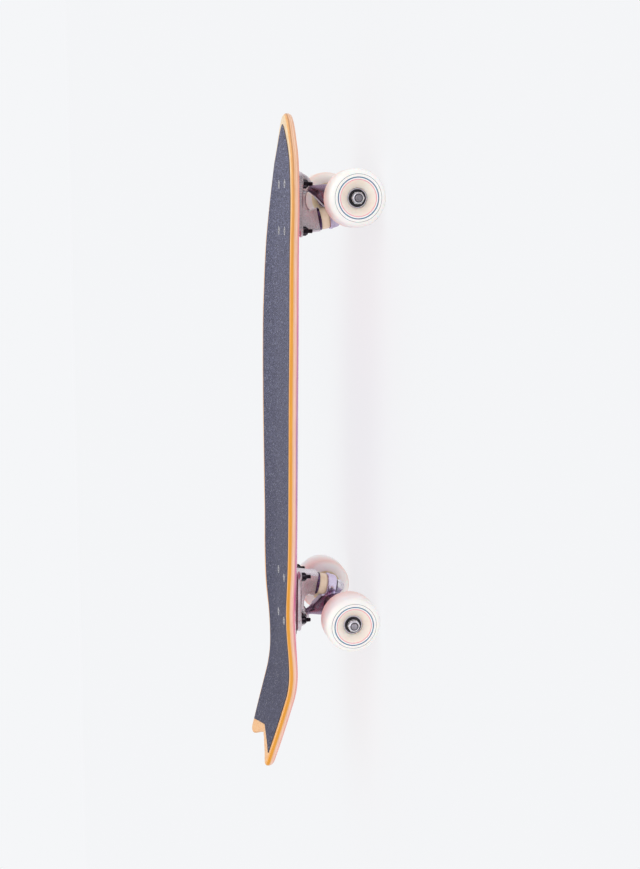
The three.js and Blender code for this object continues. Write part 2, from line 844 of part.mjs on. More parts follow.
function makeBearing(face, side, outward) {
  const bore = axleRadius + fitGap;
  const shield = outward ? bearingWidth : 0;
  const sunk = outward ? bearingWidth - bearingShieldDepth : bearingShieldDepth;
  const profile = [
    [bore, shield],
    [bore + bearingRaceLand, shield],
    [bore + bearingRaceLand, sunk],
    [bearingRadius - bearingRaceLand, sunk],
    [bearingRadius - bearingRaceLand, shield],
    [bearingRadius, shield],
    [bearingRadius, bearingWidth - shield],
    [bore, bearingWidth - shield],
  ];
  return solid(turnedRing(profile, smallFacets, ...onAxle(face, side)));
}

function makeWheel(side) {
  const facetScale = 1 / Math.cos(Math.PI / wheelFacets);
  const seat = bearingRadius + fitGap;
  const lip = [];
  for (let i = 0; i <= lipSteps; i++) {
    const angle = i / lipSteps * Math.PI / 2;
    const radius = wheelFaceRadius + (wheelRadius - wheelFaceRadius) * Math.sin(angle);
    lip.push([radius * facetScale, wheelLipRadius * (1 - Math.cos(angle))]);
  }
  const profile = [
    [hubRibRadius, ribOuter - seatGap],
    [seat, ribOuter - seatGap],
    [seat, outerBearingFace + hubSeatLand],
    [hubMouthRadius, wheelOuterFace],
    ...lip.map(([radius, drop]) => [radius, wheelOuterFace - drop]),
    ...lip.reverse().map(([radius, drop]) => [radius, wheelInnerFace + drop]),
    [hubMouthRadius, wheelInnerFace],
    [seat, innerBearingFace - hubSeatLand],
    [seat, ribInner + seatGap],
    [hubRibRadius, ribInner + seatGap],
  ];
  return solid(turnedRing(profile, wheelFacets, ...onAxle(0, side), Math.PI / wheelFacets));
}

function makeSpeedWasher(side) {
  const bore = axleRadius + fitGap;
  const profile = [
    [bore, 0],
    [speedWasherRadius, 0],
    [speedWasherRadius, speedWasherHeight],
    [bore, speedWasherHeight],
  ];
  return solid(turnedRing(profile, smallFacets, ...onAxle(outerBearingFace + seatGap, side)));
}

function makeAxleNut(side) {
  const station = outerBearingFace + seatGap + speedWasherHeight + seatGap;
  return lockNut(axleNutFlats, axleNutHeight, axleRadius + fitGap, ...onAxle(station, side));
}

// Deck bolts and their nuts
function makeBolt(x, y) {
  const profile = [
    [0, boltSocketDepth],
    [boltSocketRadius, boltSocketDepth],
    [boltSocketRadius, 0],
    [boltHeadRadius, 0],
    [boltRadius, boltHeadHeight],
    [boltRadius, boltLength],
    [0, boltLength],
  ];
  return solid(turned(profile, boltFacets, new THREE.Vector3(x, y, gripTop - mountHeight), down));
}

function makeDeckNut(x, y) {
  const base = new THREE.Vector3(x, y, -plateThickness - seatGap);
  return lockNut(deckNutFlats, deckNutHeight, boltRadius + fitGap, base, down);
}

// Assembly
function named(name, manifold, material) {
  const mesh = new THREE.Mesh(geometryOf(manifold), material);
  mesh.name = name;
  return mesh;
}

function makeTruck(end, facing) {
  const truck = new THREE.Group();
  const add = (name, manifold, material) => truck.add(named(`${end}_${name}`, manifold, finishes[material]));
  add('riser', makeRiser(), 'riser');
  add('baseplate', makeBaseplate(), 'castMetal');
  add('pivot_cup', makePivotCup(), 'cup');
  add('hanger', makeHanger(), 'hangerMetal');
  add('kingpin', makeKingpin(), 'steel');
  add('upper_washer', makeCuppedWasher(upperWasherRadius, upperWasherHeight, seatGap), 'washer');
  add('upper_bushing', makeUpperBushing(), 'bushing');
  add('lower_bushing', makeLowerBushing(), 'bushing');
  add('lower_washer', makeCuppedWasher(lowerWasherRadius, -lowerWasherHeight, lowerWasherEnd), 'washer');
  add('kingpin_nut', makeKingpinNut(), 'steel');
  add('axle', makeAxle(), 'steel');
  for (const side of [1, -1]) {
    const hand = side * facing > 0 ? 'left' : 'right';
    add(`${hand}_wheel`, makeWheel(side), 'urethane');
    add(`${hand}_inner_bearing`, makeBearing(innerBearingFace, side, false), 'bearing');
    add(`${hand}_outer_bearing`, makeBearing(ribOuter, side, true), 'bearing');
    add(`${hand}_speed_washer`, makeSpeedWasher(side), 'steel');
    add(`${hand}_axle_nut`, makeAxleNut(side), 'steel');
  }
  for (const { name, x, y } of boltPlaces) {
    const hand = y * facing > 0 ? 'left' : 'right';
    add(`${name}_${hand}_bolt`, makeBolt(x, y), 'blackSteel');
    add(`${name}_${hand}_deck_nut`, makeDeckNut(x, y), 'blackSteel');
  }
  truck.rotation.z = facing > 0 ? 0 : Math.PI;
  truck.position.set(facing > 0 ? frontTruckX : rearTruckX, 0, mountHeight);
  return truck;
}

const outline = deckOutline();
const grip = gripOutline(outline);
const board = new THREE.Group();
board.name = 'surf_skateboard';
board.add(named('deck', makeDeck(outline, grip), finishes.wood));
board.add(named('grip_tape', makeGrip(grip), finishes.grip));
board.add(makeTruck('front', 1));
board.add(makeTruck('rear', -1));

export default board;
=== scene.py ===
# Surf skateboard: the looks of a fish-tailed deck, two steering trucks and four soft wheels
from functools import partial
from math import cos, dist, hypot, pi, radians, sin, sqrt, tan
import bpy
from mathutils import Matrix, Vector


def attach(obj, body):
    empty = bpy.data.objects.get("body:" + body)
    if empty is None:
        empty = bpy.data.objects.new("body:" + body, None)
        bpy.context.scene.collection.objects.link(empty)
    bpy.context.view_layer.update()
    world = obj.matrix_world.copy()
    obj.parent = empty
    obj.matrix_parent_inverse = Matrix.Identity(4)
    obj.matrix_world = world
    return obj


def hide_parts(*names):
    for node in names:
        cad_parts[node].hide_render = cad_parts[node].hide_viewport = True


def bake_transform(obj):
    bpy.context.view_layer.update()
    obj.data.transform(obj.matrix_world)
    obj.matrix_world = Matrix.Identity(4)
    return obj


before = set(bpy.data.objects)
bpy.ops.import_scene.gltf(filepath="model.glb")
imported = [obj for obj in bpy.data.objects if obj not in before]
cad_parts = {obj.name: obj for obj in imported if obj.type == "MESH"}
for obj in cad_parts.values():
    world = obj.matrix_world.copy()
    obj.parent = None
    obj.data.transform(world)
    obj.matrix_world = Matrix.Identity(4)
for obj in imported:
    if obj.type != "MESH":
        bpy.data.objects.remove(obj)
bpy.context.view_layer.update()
print("frame loaded")

# where the parts of the board sit, in millimetres, as in the frame
board = {
    "length": 770.4, "width": 206, "thickness": 10.2, "edgeRadius": 3, "tipRadius": 4.8, "tipReach": 26,
    "gripThickness": 0.9, "gripProud": 0.75, "gripMargin": 6, "flatHalfWidth": 30, "concaveRise": 9.4,
    "kickAngle": radians(16.7), "kickLength": 124, "kickBend": 46, "notchDepth": 20.5, "deckBottom": 89.3,
    "gap": 0.3,
}
trucks = {
    "frontX": 277.6, "rearX": -189.6, "mountHeight": 85.5, "height": 53, "axleOffset": 10.6,
    "seat": (-13.5, 0, -26.5), "lean": radians(11), "ball": (24.5, 0, -11.4), "boltX": 26.99, "boltY": 20.64,
}
noseX = board["length"] / 2
deckTop = board["deckBottom"] + board["thickness"]
gripTop = deckTop + board["gap"] + board["gripThickness"]
up, down = Vector((0, 0, 1)), Vector((0, 0, -1))
seatPoint, ballPoint = Vector(trucks["seat"]), Vector(trucks["ball"])
kingpinAxis = Vector((sin(trucks["lean"]), 0, -cos(trucks["lean"])))
axlePoint = Vector((trucks["axleOffset"], 0, -trucks["height"]))
legAxis = (axlePoint - ballPoint).normalized()
pinLine, legLine = (seatPoint, kingpinAxis), (ballPoint, legAxis)
toMetres = Matrix.Scale(0.001, 4)
truckPlace = {
    end: toMetres @ Matrix.Translation((trucks[end + "X"], 0, trucks["mountHeight"]))
    @ Matrix.Rotation(turn, 4, "Z") for end, turn in (("front", 0), ("rear", pi))
}
truckEnds = (("front", 1), ("rear", -1))  # the way each truck faces
corners = [(sx, sy) for sx in (1, -1) for sy in (1, -1)]
sheetUnit, turnedUnit = 10, 100  # mm in one unit of Y on a bent sheet and on a turned piece
sharpAngle = radians(42)


def fromScreen(color):  # 0-255 screen colour to linear
    shares = [c / 255 for c in color]
    return (*(s / 12.92 if s <= 0.04045 else ((s + 0.055) / 1.055) ** 2.4 for s in shares), 1)


def linked(name, data):  # a new object in the scene
    made = bpy.data.objects.new(name, data)
    bpy.context.scene.collection.objects.link(made)
    return made


def makeMesh(name, points, faces, uvs=None):  # uvs: one pair for each face corner
    mesh = bpy.data.meshes.new(name)
    mesh.from_pydata([tuple(p) for p in points], [], faces)
    if uvs:
        layer = mesh.uv_layers.new(name="surface")
        layer.data.foreach_set("uv", [c for pair in uvs for c in pair])
    mesh.update()
    return mesh


def softened(profile, radius, steps=3, closed=False):  # rounds a profile's corners
    made = []
    for i, point in enumerate(profile):
        here = Vector(point[:2])
        before, after = Vector(profile[i - 1][:2]) - here, Vector(profile[(i + 1) % len(profile)][:2]) - here
        held = not closed and i in (0, len(profile) - 1) or len(point) > 2 or here[0] == 0
        if held or before.length * after.length == 0 or before.normalized().dot(after.normalized()) < -0.97:
            made.append(point)
            continue
        reach = min(radius, 0.42 * before.length, 0.42 * after.length)
        start, end = here + before.normalized() * reach, here + after.normalized() * reach
        for k in range(steps + 1):
            t = k / steps
            made.append(tuple(start * (1 - t) ** 2 + here * 2 * t * (1 - t) + end * t * t))
    return made


def lathe(name, profile, segments, closed=False):  # (radius, height[, hex flats]) turned about Z
    points, rings, faces, uvs = [], [], [], []
    lengths = [0]
    for a, b in zip(profile, profile[1:] + profile[:1]):
        lengths.append(lengths[-1] + dist(a[:2], b[:2]))
    for radius, height, *flats in profile:
        if radius == 0:
            rings.append([len(points)] * segments)
            points.append((0, 0, height))
            continue
        rings.append(range(len(points), len(points) + segments))
        for j in range(segments):
            angle, r = 2 * pi * j / segments, radius
            if flats:
                side = (angle + pi / 6) % (pi / 3) - pi / 6
                r = min(radius, flats[0] / 2 / cos(side))
            points.append((r * cos(angle), r * sin(angle), height))
    for i in range(len(profile) if closed else len(profile) - 1):
        lower, upper = rings[i], rings[(i + 1) % len(profile)]
        for j in range(segments):
            k = (j + 1) % segments
            quad = [lower[j], lower[k], upper[k], upper[j]]
            places = [(j, i), (j + 1, i), (j + 1, i + 1), (j, i + 1)]
            kept = [n for n in range(4) if quad[n] != quad[n - 1]]
            faces.append([quad[n] for n in kept])
            uvs += [(places[n][0] / segments, lengths[places[n][1]] / turnedUnit) for n in kept]
    return makeMesh(name, points, faces, uvs)


def facingOut(mesh):  # turns the faces round if the shell is inside out
    mesh.calc_loop_triangles()
    volume = 0
    for tri in mesh.loop_triangles:
        a, b, c = (mesh.vertices[i].co for i in tri.vertices)
        volume += a.dot(b.cross(c))
    if volume < 0:
        mesh.flip_normals()
    return mesh


def aimed(mesh, base, direction):  # moves a turned mesh from +Z to its own line
    turn = up.rotation_difference(direction).to_matrix().to_4x4()
    mesh.transform(Matrix.Translation(base) @ turn)
    return facingOut(mesh)


def rod(radius, low, high):
    return [(0, low), (radius, low), (radius, high), (0, high)]


def turned(name, profile, segments, line, closed=False):
    return aimed(lathe(name, profile, segments, closed), *line)


def splined(points, steps, closed=True):  # Catmull-Rom curve through 2D points
    count = len(points)
    made = []
    for i in range(count if closed else count - 1):
        p = [Vector(points[(i + k) % count] if closed else points[min(max(i + k, 0), count - 1)])
             for k in (-1, 0, 1, 2)]
        for s in range(steps):
            t = s / steps
            made.append(0.5 * (2 * p[1] + (p[2] - p[0]) * t + (2 * p[0] - 5 * p[1] + 4 * p[2] - p[3]) * t ** 2
                               + (3 * p[1] - p[0] - 3 * p[2] + p[3]) * t ** 3))
    if not closed:
        made.append(Vector(points[-1]))
    return made


def ringLoft(name, rings):  # a closed skin over rings of equal count
    count = len(rings[0])
    points = [p for ring in rings for p in ring]
    faces = []
    for k in range(len(rings) - 1):
        a, b = k * count, (k + 1) * count
        faces += [[a + i, a + (i + 1) % count, b + (i + 1) % count, b + i] for i in range(count)]
    faces.append(list(range(count))[::-1])
    faces.append([(len(rings) - 1) * count + i for i in range(count)])
    return facingOut(makeMesh(name, points, faces))


def slab(name, outline, halfWidth, chamfer):  # an XZ outline with width along Y
    middle = sum((Vector(p) for p in outline), Vector((0, 0))) / len(outline)
    inner = [Vector(p) + (middle - Vector(p)).normalized() * chamfer for p in outline]
    layers = [(inner, -halfWidth), (outline, chamfer - halfWidth),
              (outline, halfWidth - chamfer), (inner, halfWidth)]
    return ringLoft(name, [[(p[0], y, p[1]) for p in ring] for ring, y in layers])


def plateMesh(name, length, width, corner, low, high, soft, shift=0):  # rounded plate with softened rims
    rim, rings = [(1, 0), (0.3, 0.3), (0, 1)], []
    layers = [(soft * a, low + soft * b) for a, b in rim] + [(soft * a, high - soft * b) for a, b in rim[::-1]]
    for inset, z in layers:
        ring = []
        for quarter, (sx, sy) in enumerate([(1, 1), (-1, 1), (-1, -1), (1, -1)]):
            for k in range(9):
                angle = (quarter + k / 8) * pi / 2
                ring.append((shift + sx * (length / 2 - corner) + (corner - inset) * cos(angle),
                             sy * (width / 2 - corner) + (corner - inset) * sin(angle), z))
        rings.append(ring)
    return ringLoft(name, rings)


def joined(name, meshes):
    points, faces = [], []
    for mesh in meshes:
        first = len(points)
        points += [v.co.copy() for v in mesh.vertices]
        faces += [[first + i for i in face.vertices] for face in mesh.polygons]
    return makeMesh(name, points, faces)


def shaped(mesh, *modifiers):  # the mesh after (kind, settings) modifiers
    source = linked("shaping", mesh)
    helpers = [source]
    for kind, settings in modifiers:
        modifier = source.modifiers.new(kind, kind)
        for key, value in settings.items():
            if isinstance(value, bpy.types.Mesh):
                value = linked("cutter", value)
                helpers.append(value)
            setattr(modifier, key, value)
    bpy.context.view_layer.update()
    made = bpy.data.meshes.new_from_object(source.evaluated_get(bpy.context.evaluated_depsgraph_get()))
    for helper in helpers:
        bpy.data.objects.remove(helper)
    return made


def cutBy(cutter, solver="EXACT"):
    exact = solver == "EXACT"
    return ("BOOLEAN", {"operation": "DIFFERENCE", "solver": solver, "use_self": exact, "object": cutter})


def melted(name, shells, voxel, rounds):  # shells run into one casting with soft inner corners
    return shaped(joined(name, shells), ("REMESH", {"mode": "VOXEL", "voxel_size": voxel}),
                  ("SMOOTH", {"factor": 0.5, "iterations": rounds}))


def secondFinish(mesh, chosen):  # faces whose middle is chosen take the piece's second finish
    for face in mesh.polygons:
        if chosen(face.center):
            face.material_index = 1
    return mesh


# short forms for shader nodes, which go into the tree in hand
inHand = {"tree": None}
noiseSpan = (0.3, 0.7)  # where most of a noise's values lie


def addNode(kind, inputs=None, **settings):
    made = inHand["tree"].nodes.new("ShaderNode" + kind)
    for key, value in settings.items():
        setattr(made, key, value)
    for key, value in (inputs or {}).items():
        if isinstance(value, bpy.types.NodeSocket):
            link(value, made.inputs[key])
        else:
            made.inputs[key].default_value = value
    return made


def link(value, socket):
    inHand["tree"].links.new(value, socket)


def mathNode(operation, a, b=0.0):
    return addNode("Math", {0: a, 1: b}, operation=operation).outputs[0]


times, plus, minus, larger, power = (
    partial(mathNode, kind) for kind in ("MULTIPLY", "ADD", "SUBTRACT", "MAXIMUM", "POWER"))


def ranged(value, low, high, start=0.0, end=1.0):
    return addNode("MapRange", {0: value, 1: low, 2: high, 3: start, 4: end}).outputs[0]


def mixColor(factor, a, b, blend="MIX"):  # takes sockets or screen colours
    a, b = (fromScreen(c) if isinstance(c, tuple) else c for c in (a, b))
    return addNode("Mix", {0: factor, 6: a, 7: b}, data_type="RGBA", blend_type=blend).outputs[2]


def mixValue(factor, a, b):
    return addNode("Mix", {0: factor, 2: a, 3: b}).outputs[0]


def noise(place, scale, detail, **more):
    return addNode("TexNoise", {"Vector": place, "Scale": scale, "Detail": detail, **more}).outputs["Fac"]


def objectPlace():
    return addNode("TexCoord").outputs["Object"]


def axes(vector):
    return addNode("SeparateXYZ", {0: vector}).outputs


def sheetPlace():  # X runs round or along a piece, Y across its surface
    return axes(addNode("UVMap", uv_map="surface").outputs[0])


def rampOf(value, stops, low, high, interpolation="LINEAR"):  # stops hold screen colours or grey levels
    ramp = addNode("ValToRGB", {0: ranged(value, low, high)})
    ramp.color_ramp.interpolation = interpolation
    while len(ramp.color_ramp.elements) < len(stops):
        ramp.color_ramp.elements.new(0.5)
    for element, (at, color) in zip(ramp.color_ramp.elements, stops):
        element.position = (at - low) / (high - low)
        element.color = fromScreen(color) if isinstance(color, tuple) else (color, color, color, 1)
    return ramp.outputs[0]


# effects that several finishes share
def newGroup(name, inputs, outputs):
    tree = inHand["tree"] = bpy.data.node_groups.new(name, "ShaderNodeTree")
    for label, value in inputs:
        tree.interface.new_socket(label, in_out="INPUT", socket_type="NodeSocketFloat").default_value = value
    for label in outputs:
        tree.interface.new_socket(label, in_out="OUTPUT", socket_type="NodeSocketFloat")
    return tree, tree.nodes.new("NodeGroupInput").outputs, tree.nodes.new("NodeGroupOutput").inputs


def makeMottle():  # slow colour variation and a fine height, from object space
    tree, given, result = newGroup("mottle", [("Size", 40), ("Fine Size", 900)], ["Mask", "Height"])
    place = objectPlace()
    link(ranged(noise(place, given["Size"], 4), 0.35, 0.65), result["Mask"])
    link(noise(place, given["Fine Size"], 3), result["Height"])
    return tree


def makeEdgeWear():  # a mask that catches edges, broken up by noise
    tree, given, result = newGroup("edgeWear", [("Start", 0.52), ("End", 0.6)], ["Mask"])
    broken = ranged(noise(objectPlace(), 260, 5), 0.4, 0.62, 0.35, 1)
    edge = ranged(addNode("NewGeometry").outputs["Pointiness"], given["Start"], given["End"])
    link(times(edge, broken), result["Mask"])
    return tree


mottle = makeMottle()
edgeWear = makeEdgeWear()


def startMaterial(name, roughness, metallic=0.0, **fixed):
    material = bpy.data.materials.new(name)
    material.use_nodes = True
    inHand["tree"] = material.node_tree
    shader = material.node_tree.nodes["Principled BSDF"]
    fixed.update(Roughness=roughness, Metallic=metallic)
    for key, value in fixed.items():
        shader.inputs[key.replace("_", " ")].default_value = value
    return material, shader


def addGroup(group, **values):
    made = addNode("Group", node_tree=group)
    for key, value in values.items():
        made.inputs[key.replace("_", " ")].default_value = value
    return made.outputs


def dress(shader, color, roughness, height, strength, distance=0.0001):
    link(color, shader.inputs["Base Color"])
    link(roughness, shader.inputs["Roughness"])
    if strength:
        bump = addNode("Bump", {"Height": height, "Strength": strength, "Distance": distance})
        link(bump.outputs[0], shader.inputs["Normal"])


# roughness, size of the slow and the fine noise, bump, dark and light colour; worn metal goes on with
# the start of its wear, its edge colour and how metallic it is, and races with their roughness spread
# the lavender and purple tints in the metal colours are painted reflection of the deck's pink and purple
# underside
finishLooks = {
    "plateMetal": (0.25, 55, 1500, 0.08, (196, 184, 190), (224, 214, 221), 0.53, (252, 250, 253)),
    # one hanger metal in two copies: the darker is painted shade on the arms, the brighter a painted highlight
    # on the dome
    "hangerMetal": (0.24, 40, 1400, 0.03, (122, 98, 116), (158, 136, 158), 0.54, (232, 220, 238)),
    "hangerMetalLit": (0.19, 60, 1600, 0.03, (190, 174, 206), (222, 212, 236), 0.54, (246, 242, 252)),
    "brightSteel": (0.26, 200, 2500, 0.02, (214, 210, 218), (238, 235, 242), 0.58, (252, 250, 254), 0.75),
    "axleSteel": (0.32, 200, 2500, 0.03, (150, 144, 152), (180, 174, 184), 0.56, (226, 222, 232), 0.8),
    "washerMetal": (0.24, 150, 2500, 0.05, (72, 54, 78), (120, 92, 132), 0.53, (205, 180, 222)),
    "blackSteel": (0.34, 300, 2200, 0.1, (34, 28, 34), (52, 45, 52), 0.54, (176, 170, 184)),
    "riserPlastic": (0.62, 70, 2400, 0.3, (46, 32, 44), (62, 45, 58)),
    "cupPlastic": (0.5, 120, 2000, 0.2, (30, 27, 31), (42, 38, 44)),
    "bushingRubber": (0.42, 90, 1800, 0.15, (236, 216, 182), (250, 234, 206)),
    "lockingRing": (0.45, 200, 1800, 0.1, (58, 54, 70), (76, 72, 90)),
    "bearingRaces": (0.45, 400, 2600, 0, (206, 198, 214), (232, 226, 238), 0, None, 0.4, (0.05, 0.07)),
    "bearingShield": (0.4, 200, 2000, 0.1, (26, 22, 28), (40, 36, 44)),
}


def makeFinish(name, roughness, size, fineSize, bump, dark, light, wearStart=0, edge=None, metallic=1,
               spread=None):
    smoother, rougher = spread or (0.06, 0.1 if edge else 0.08)
    material, shader = startMaterial(name, roughness, metallic if edge or spread else 0)
    spots = addGroup(mottle, Size=size, Fine_Size=fineSize)
    color = mixColor(spots["Mask"], dark, light)
    if edge:
        wear = addGroup(edgeWear, Start=wearStart, End=wearStart + 0.07)
        color = mixColor(wear["Mask"], color, edge)
    rough = ranged(spots["Height"], *noiseSpan, roughness - smoother, roughness + rougher)
    dress(shader, color, rough, spots["Height"], bump)
    return material


finishes = {name: makeFinish(name, *look) for name, look in finishLooks.items()}
print("shared finishes made")


def addPiece(name, mesh, materials, body, node, place=toMetres):
    mesh = mesh.copy()
    mesh.transform(place)
    facingOut(mesh)
    piece = linked(name, mesh)
    for material in materials:
        mesh.materials.append(finishes[material])
    mesh.shade_smooth()
    mesh.set_sharp_from_angle(angle=sharpAngle)
    if body:
        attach(piece, body)
    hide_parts(node)
    return piece


# deck and grip tape; a row is how far from the nose, the half width and the concave rise
outlineShares = [
    (0, 0, 0), (0.01, 0.175, 0), (0.039, 0.374, 0.02), (0.065, 0.545, 0.1), (0.091, 0.648, 0.21),
    (0.143, 0.802, 0.46), (0.195, 0.892, 0.72), (0.26, 0.956, 0.88), (0.326, 1, 0.97), (0.43, 0.985, 1),
    (0.534, 0.952, 0.95), (0.638, 0.906, 0.9), (0.69, 0.88, 0.95), (0.742, 0.803, 0.97), (0.768, 0.76, 0.86),
    (0.794, 0.728, 0.66), (0.82, 0.738, 0.48), (0.846, 0.748, 0.38), (0.872, 0.739, 0.3),
    (0.898, 0.71, 0.26), (0.924, 0.688, 0.2), (0.95, 0.662, 0.15), (0.979, 0.625, 0.1),
]
squaredShares = [(row[0], row[1] ** 2) for row in outlineShares]
tailShares = [(0, 0), (0.3, 0.35), (0.55, 0.67), (0.71, 0.9), (0.82, 1), (0.92, 0.92), (0.98, 0.66), (1, 0.22)]
gripTailShares = [(0, 0), (0.3, 0.31), (0.56, 0.58), (0.76, 0.79), (0.87, 0.91), (0.92, 0.96), (0.96, 1),
                  (1, 0.93)]
# the rim's steps are an inset and a drop
deckLook = {
    "rows": 150, "tailSteps": 5, "rowEase": 0.82, "tailBlend": 0.2,
    "rim": [(1, 0), (0.62, 0.07), (0.29, 0.29), (0.07, 0.62), (0, 1)], "coneRadius": 4.75, "coneDepth": 1.95,
    "coneSlope": 0.896, "coneOver": (1.8, 2), "holeRadius": 2.8, "through": 30,
}
gripShape = {
    "tipMargin": 2.1, "tipLength": 42, "tipCurve": 1.6, "tipRise": 0.74, "cornerMargin": 0.8,
    "notchMargin": 1.75, "notchShare": 0.67, "lift": 0.03, "holeClearance": 0.35,
}


def tableAt(rows, column, at):  # a smooth curve through a table
    last = len(rows) - 1
    i = next((k - 1 for k, row in enumerate(rows) if row[0] > at), last - 1)
    i = min(max(i, 0), last - 1)

    def slope(j):
        a, b = rows[max(j - 1, 0)], rows[min(j + 1, last)]
        return (b[column] - a[column]) / (b[0] - a[0])
    span = rows[i + 1][0] - rows[i][0]
    t = min(max((at - rows[i][0]) / span, 0), 1)
    a, b, da, db = rows[i][column], rows[i + 1][column], slope(i) * span, slope(i + 1) * span
    return a + da * t + (3 * (b - a) - 2 * da - db) * t ** 2 + (2 * (a - b) + da + db) * t ** 3


def halfWidthAt(x):
    return board["width"] / 2 * sqrt(max(tableAt(squaredShares, 1, (noseX - x) / board["length"]), 0))


def sheetHeight(x, y):  # the bent top sheet above its flat middle
    past = noseX - x - (board["length"] - board["kickLength"])
    bend = board["kickBend"] / sin(board["kickAngle"])
    lift = 0
    if past > 0:
        lift = bend - sqrt(max(bend ** 2 - past ** 2, 0))
    if past >= board["kickBend"]:
        lift = bend * (1 - cos(board["kickAngle"])) + (past - board["kickBend"]) * tan(board["kickAngle"])
    rise = board["concaveRise"] * tableAt(outlineShares, 2, (noseX - x) / board["length"])
    flat = board["flatHalfWidth"]
    reach = max(halfWidthAt(x), flat + 1) - flat
    return lift + rise * min(max(abs(y) - flat, 0) / reach, 1) ** 2


def tailLine(corner, notchX, depth, shares):  # corner to notch, with the corner moved to meet the line
    line = [(notchX - depth * along, corner[1] * across)
            for across, along in splined(shares, deckLook["tailSteps"], closed=False)]
    corner[0] = line[-1][0]
    return [list(p) for p in line[:-1][::-1]]


def deckOutline():
    rows, ease = deckLook["rows"], deckLook["rowEase"]
    cornerX = noseX - board["length"] * outlineShares[-1][0]
    points = []
    for i in range(rows):
        q = i / (rows - 1)
        x = noseX + (cornerX - noseX) * (ease * (1 - cos(pi * q)) / 2 + (1 - ease) * q)
        points.append([x, halfWidthAt(x)])
    return points + tailLine(points[-1], board["notchDepth"] - noseX, board["notchDepth"], tailShares)


def rimRadius(x):  # the edge is rounder at the nose and the tail tips
    near = max(1 - (noseX - abs(x)) / board["tipReach"], 0)
    return board["edgeRadius"] + (board["tipRadius"] - board["edgeRadius"]) * near


def insetOutline(outline, insetAt):
    made = []
    for i, (x, y) in enumerate(outline):
        inset = insetAt(x)
        before = outline[i - 1] if i else (outline[1][0], -outline[1][1])
        after = outline[i + 1] if i + 1 < len(outline) else (outline[i - 1][0], -outline[i - 1][1])
        run = dist(before, after)
        made.append([x - inset * (after[1] - before[1]) / run, y + inset * (after[0] - before[0]) / run])
    return made


def gripOutline(outline):
    look, rows, margin = gripShape, deckLook["rows"], board["gripMargin"]
    points = insetOutline(outline, lambda x: margin)[:rows]
    points[0] = [noseX - margin * look["tipMargin"], 0]
    tip = next(i for i in range(1, rows) if points[0][0] - points[i][0] > look["tipLength"])
    for i in range(1, tip):  # the sharp tip runs to its point in a slight curve
        t = (i / tip) ** look["tipCurve"]
        points[i] = [points[0][0] + (points[tip][0] - points[0][0]) * t, points[tip][1] * t ** look["tipRise"]]
    corner = [outline[rows - 1][0], outline[rows - 1][1] - margin * look["cornerMargin"]]
    points[rows - 1] = corner
    notchX = board["notchDepth"] - noseX + margin * look["notchMargin"]
    return points + tailLine(corner, notchX, board["notchDepth"] * look["notchShare"], gripTailShares)


def bentSheet(name, layers, top):  # (outline, drop) from the top grid, round the edge, to the bottom grid
    rows = deckLook["rows"]
    points, faces, places = [], [], []

    def put(x, y, drop):
        points.append((x, y, top + sheetHeight(x, y) - drop(x)))
        places.append((x / 1000, drop(x) / sheetUnit))
        return len(points) - 1
    grids = []
    for outline, drop in (layers[0], layers[-1]):
        corner, half = outline[rows - 1], outline[rows - 1:]
        tail = half + [[x, -y] for x, y in half[:-1][::-1]]
        grid = []
        for x, y in outline[:rows]:
            blend = max(1 - (x - corner[0]) / (deckLook["tailBlend"] * board["length"]), 0) ** 2
            grid.append([put(x + blend * (tx - corner[0]), y * ty / corner[1], drop) for tx, ty in tail])
        grids.append(grid)
    for side, grid in enumerate(grids):
        for upper, lower in zip(grid, grid[1:]):
            for c in range(len(upper) - 1):
                quad = [upper[c], lower[c], lower[c + 1], upper[c + 1]]
                faces.append(quad if side == 0 else quad[::-1])
    loops = [[put(x, y, drop) for x, y in outline + [[x, -y] for x, y in outline[1:-1][::-1]]]
             for outline, drop in layers]
    for above, below in zip(loops, loops[1:]):
        count = len(above)
        faces += [[above[i], below[i], below[(i + 1) % count], above[(i + 1) % count]] for i in range(count)]
    mesh = makeMesh(name, points, faces, [places[i] for face in faces for i in face])
    return facingOut(shaped(mesh, ("WELD", {"merge_threshold": 0.002})))


def boltCones(top, clearance):  # eight countersunk holes
    look = deckLook
    reach, over = look["coneOver"]
    neck = (look["holeRadius"], (look["coneDepth"] + clearance) / look["coneSlope"])
    profile = [(0, -over), (look["coneRadius"] + clearance + reach, -over), neck,
               (look["holeRadius"], look["through"]), (0, look["through"])]
    return joined("cones", [
        turned("cone", profile, 32, (Vector((trucks[end + "X"] + facing * sx * trucks["boltX"],
                                             sy * trucks["boltY"], top)), down))
        for end, facing in truckEnds for sx, sy in corners])


# depth in mm, colour below that depth; the palest top band is partly the pale top ply and partly a painted
# highlight on the rounded top edge
deckPlies = [(0, (252, 190, 114)), (1.1, (238, 164, 44)), (4.3, (234, 184, 128)), (5.1, (244, 200, 168)),
             (6.4, (250, 206, 190)), (8.0, (236, 180, 170)), (8.6, (244, 196, 184))]
nosePlies = [(0, (254, 226, 178)), (1.0, (244, 186, 118)), (2.7, (206, 152, 104)), (4.4, (246, 202, 164)),
             (5.7, (222, 176, 140)), (6.2, (248, 208, 180)), (7.8, (232, 180, 142)), (8.4, (246, 204, 164))]
# the paint under the deck fades through these in equal steps from end to end
paintColors = [(250, 170, 120), (235, 120, 160), (140, 90, 170), (235, 120, 160), (250, 170, 120)]
woodLook = {
    "roughness": 0.34, "coatRoughness": 0.2, "grainStretch": (9, 130, 700), "poreStretch": (60, 900, 1600),
    "grainTone": (214, 150, 92), "poreTone": (168, 108, 66), "paintGrain": (248, 196, 160), "plyWander": 0.14,
    "paintSway": 0.02, "paintClimb": 1, "fadeEnds": (-0.4, 0.4), "paleNose": (0.2, 0.35), "grainShare": (0.36, 0.66, 0, 0.28), "poreShare": (0.6, 0.72, 0, 0.25),
    "paintShare": (0.42, 0.7, 0, 0.25), "roughSpan": (0.32, 0.48), "bump": 0.1, "bumpDepth": 0.0002,
}


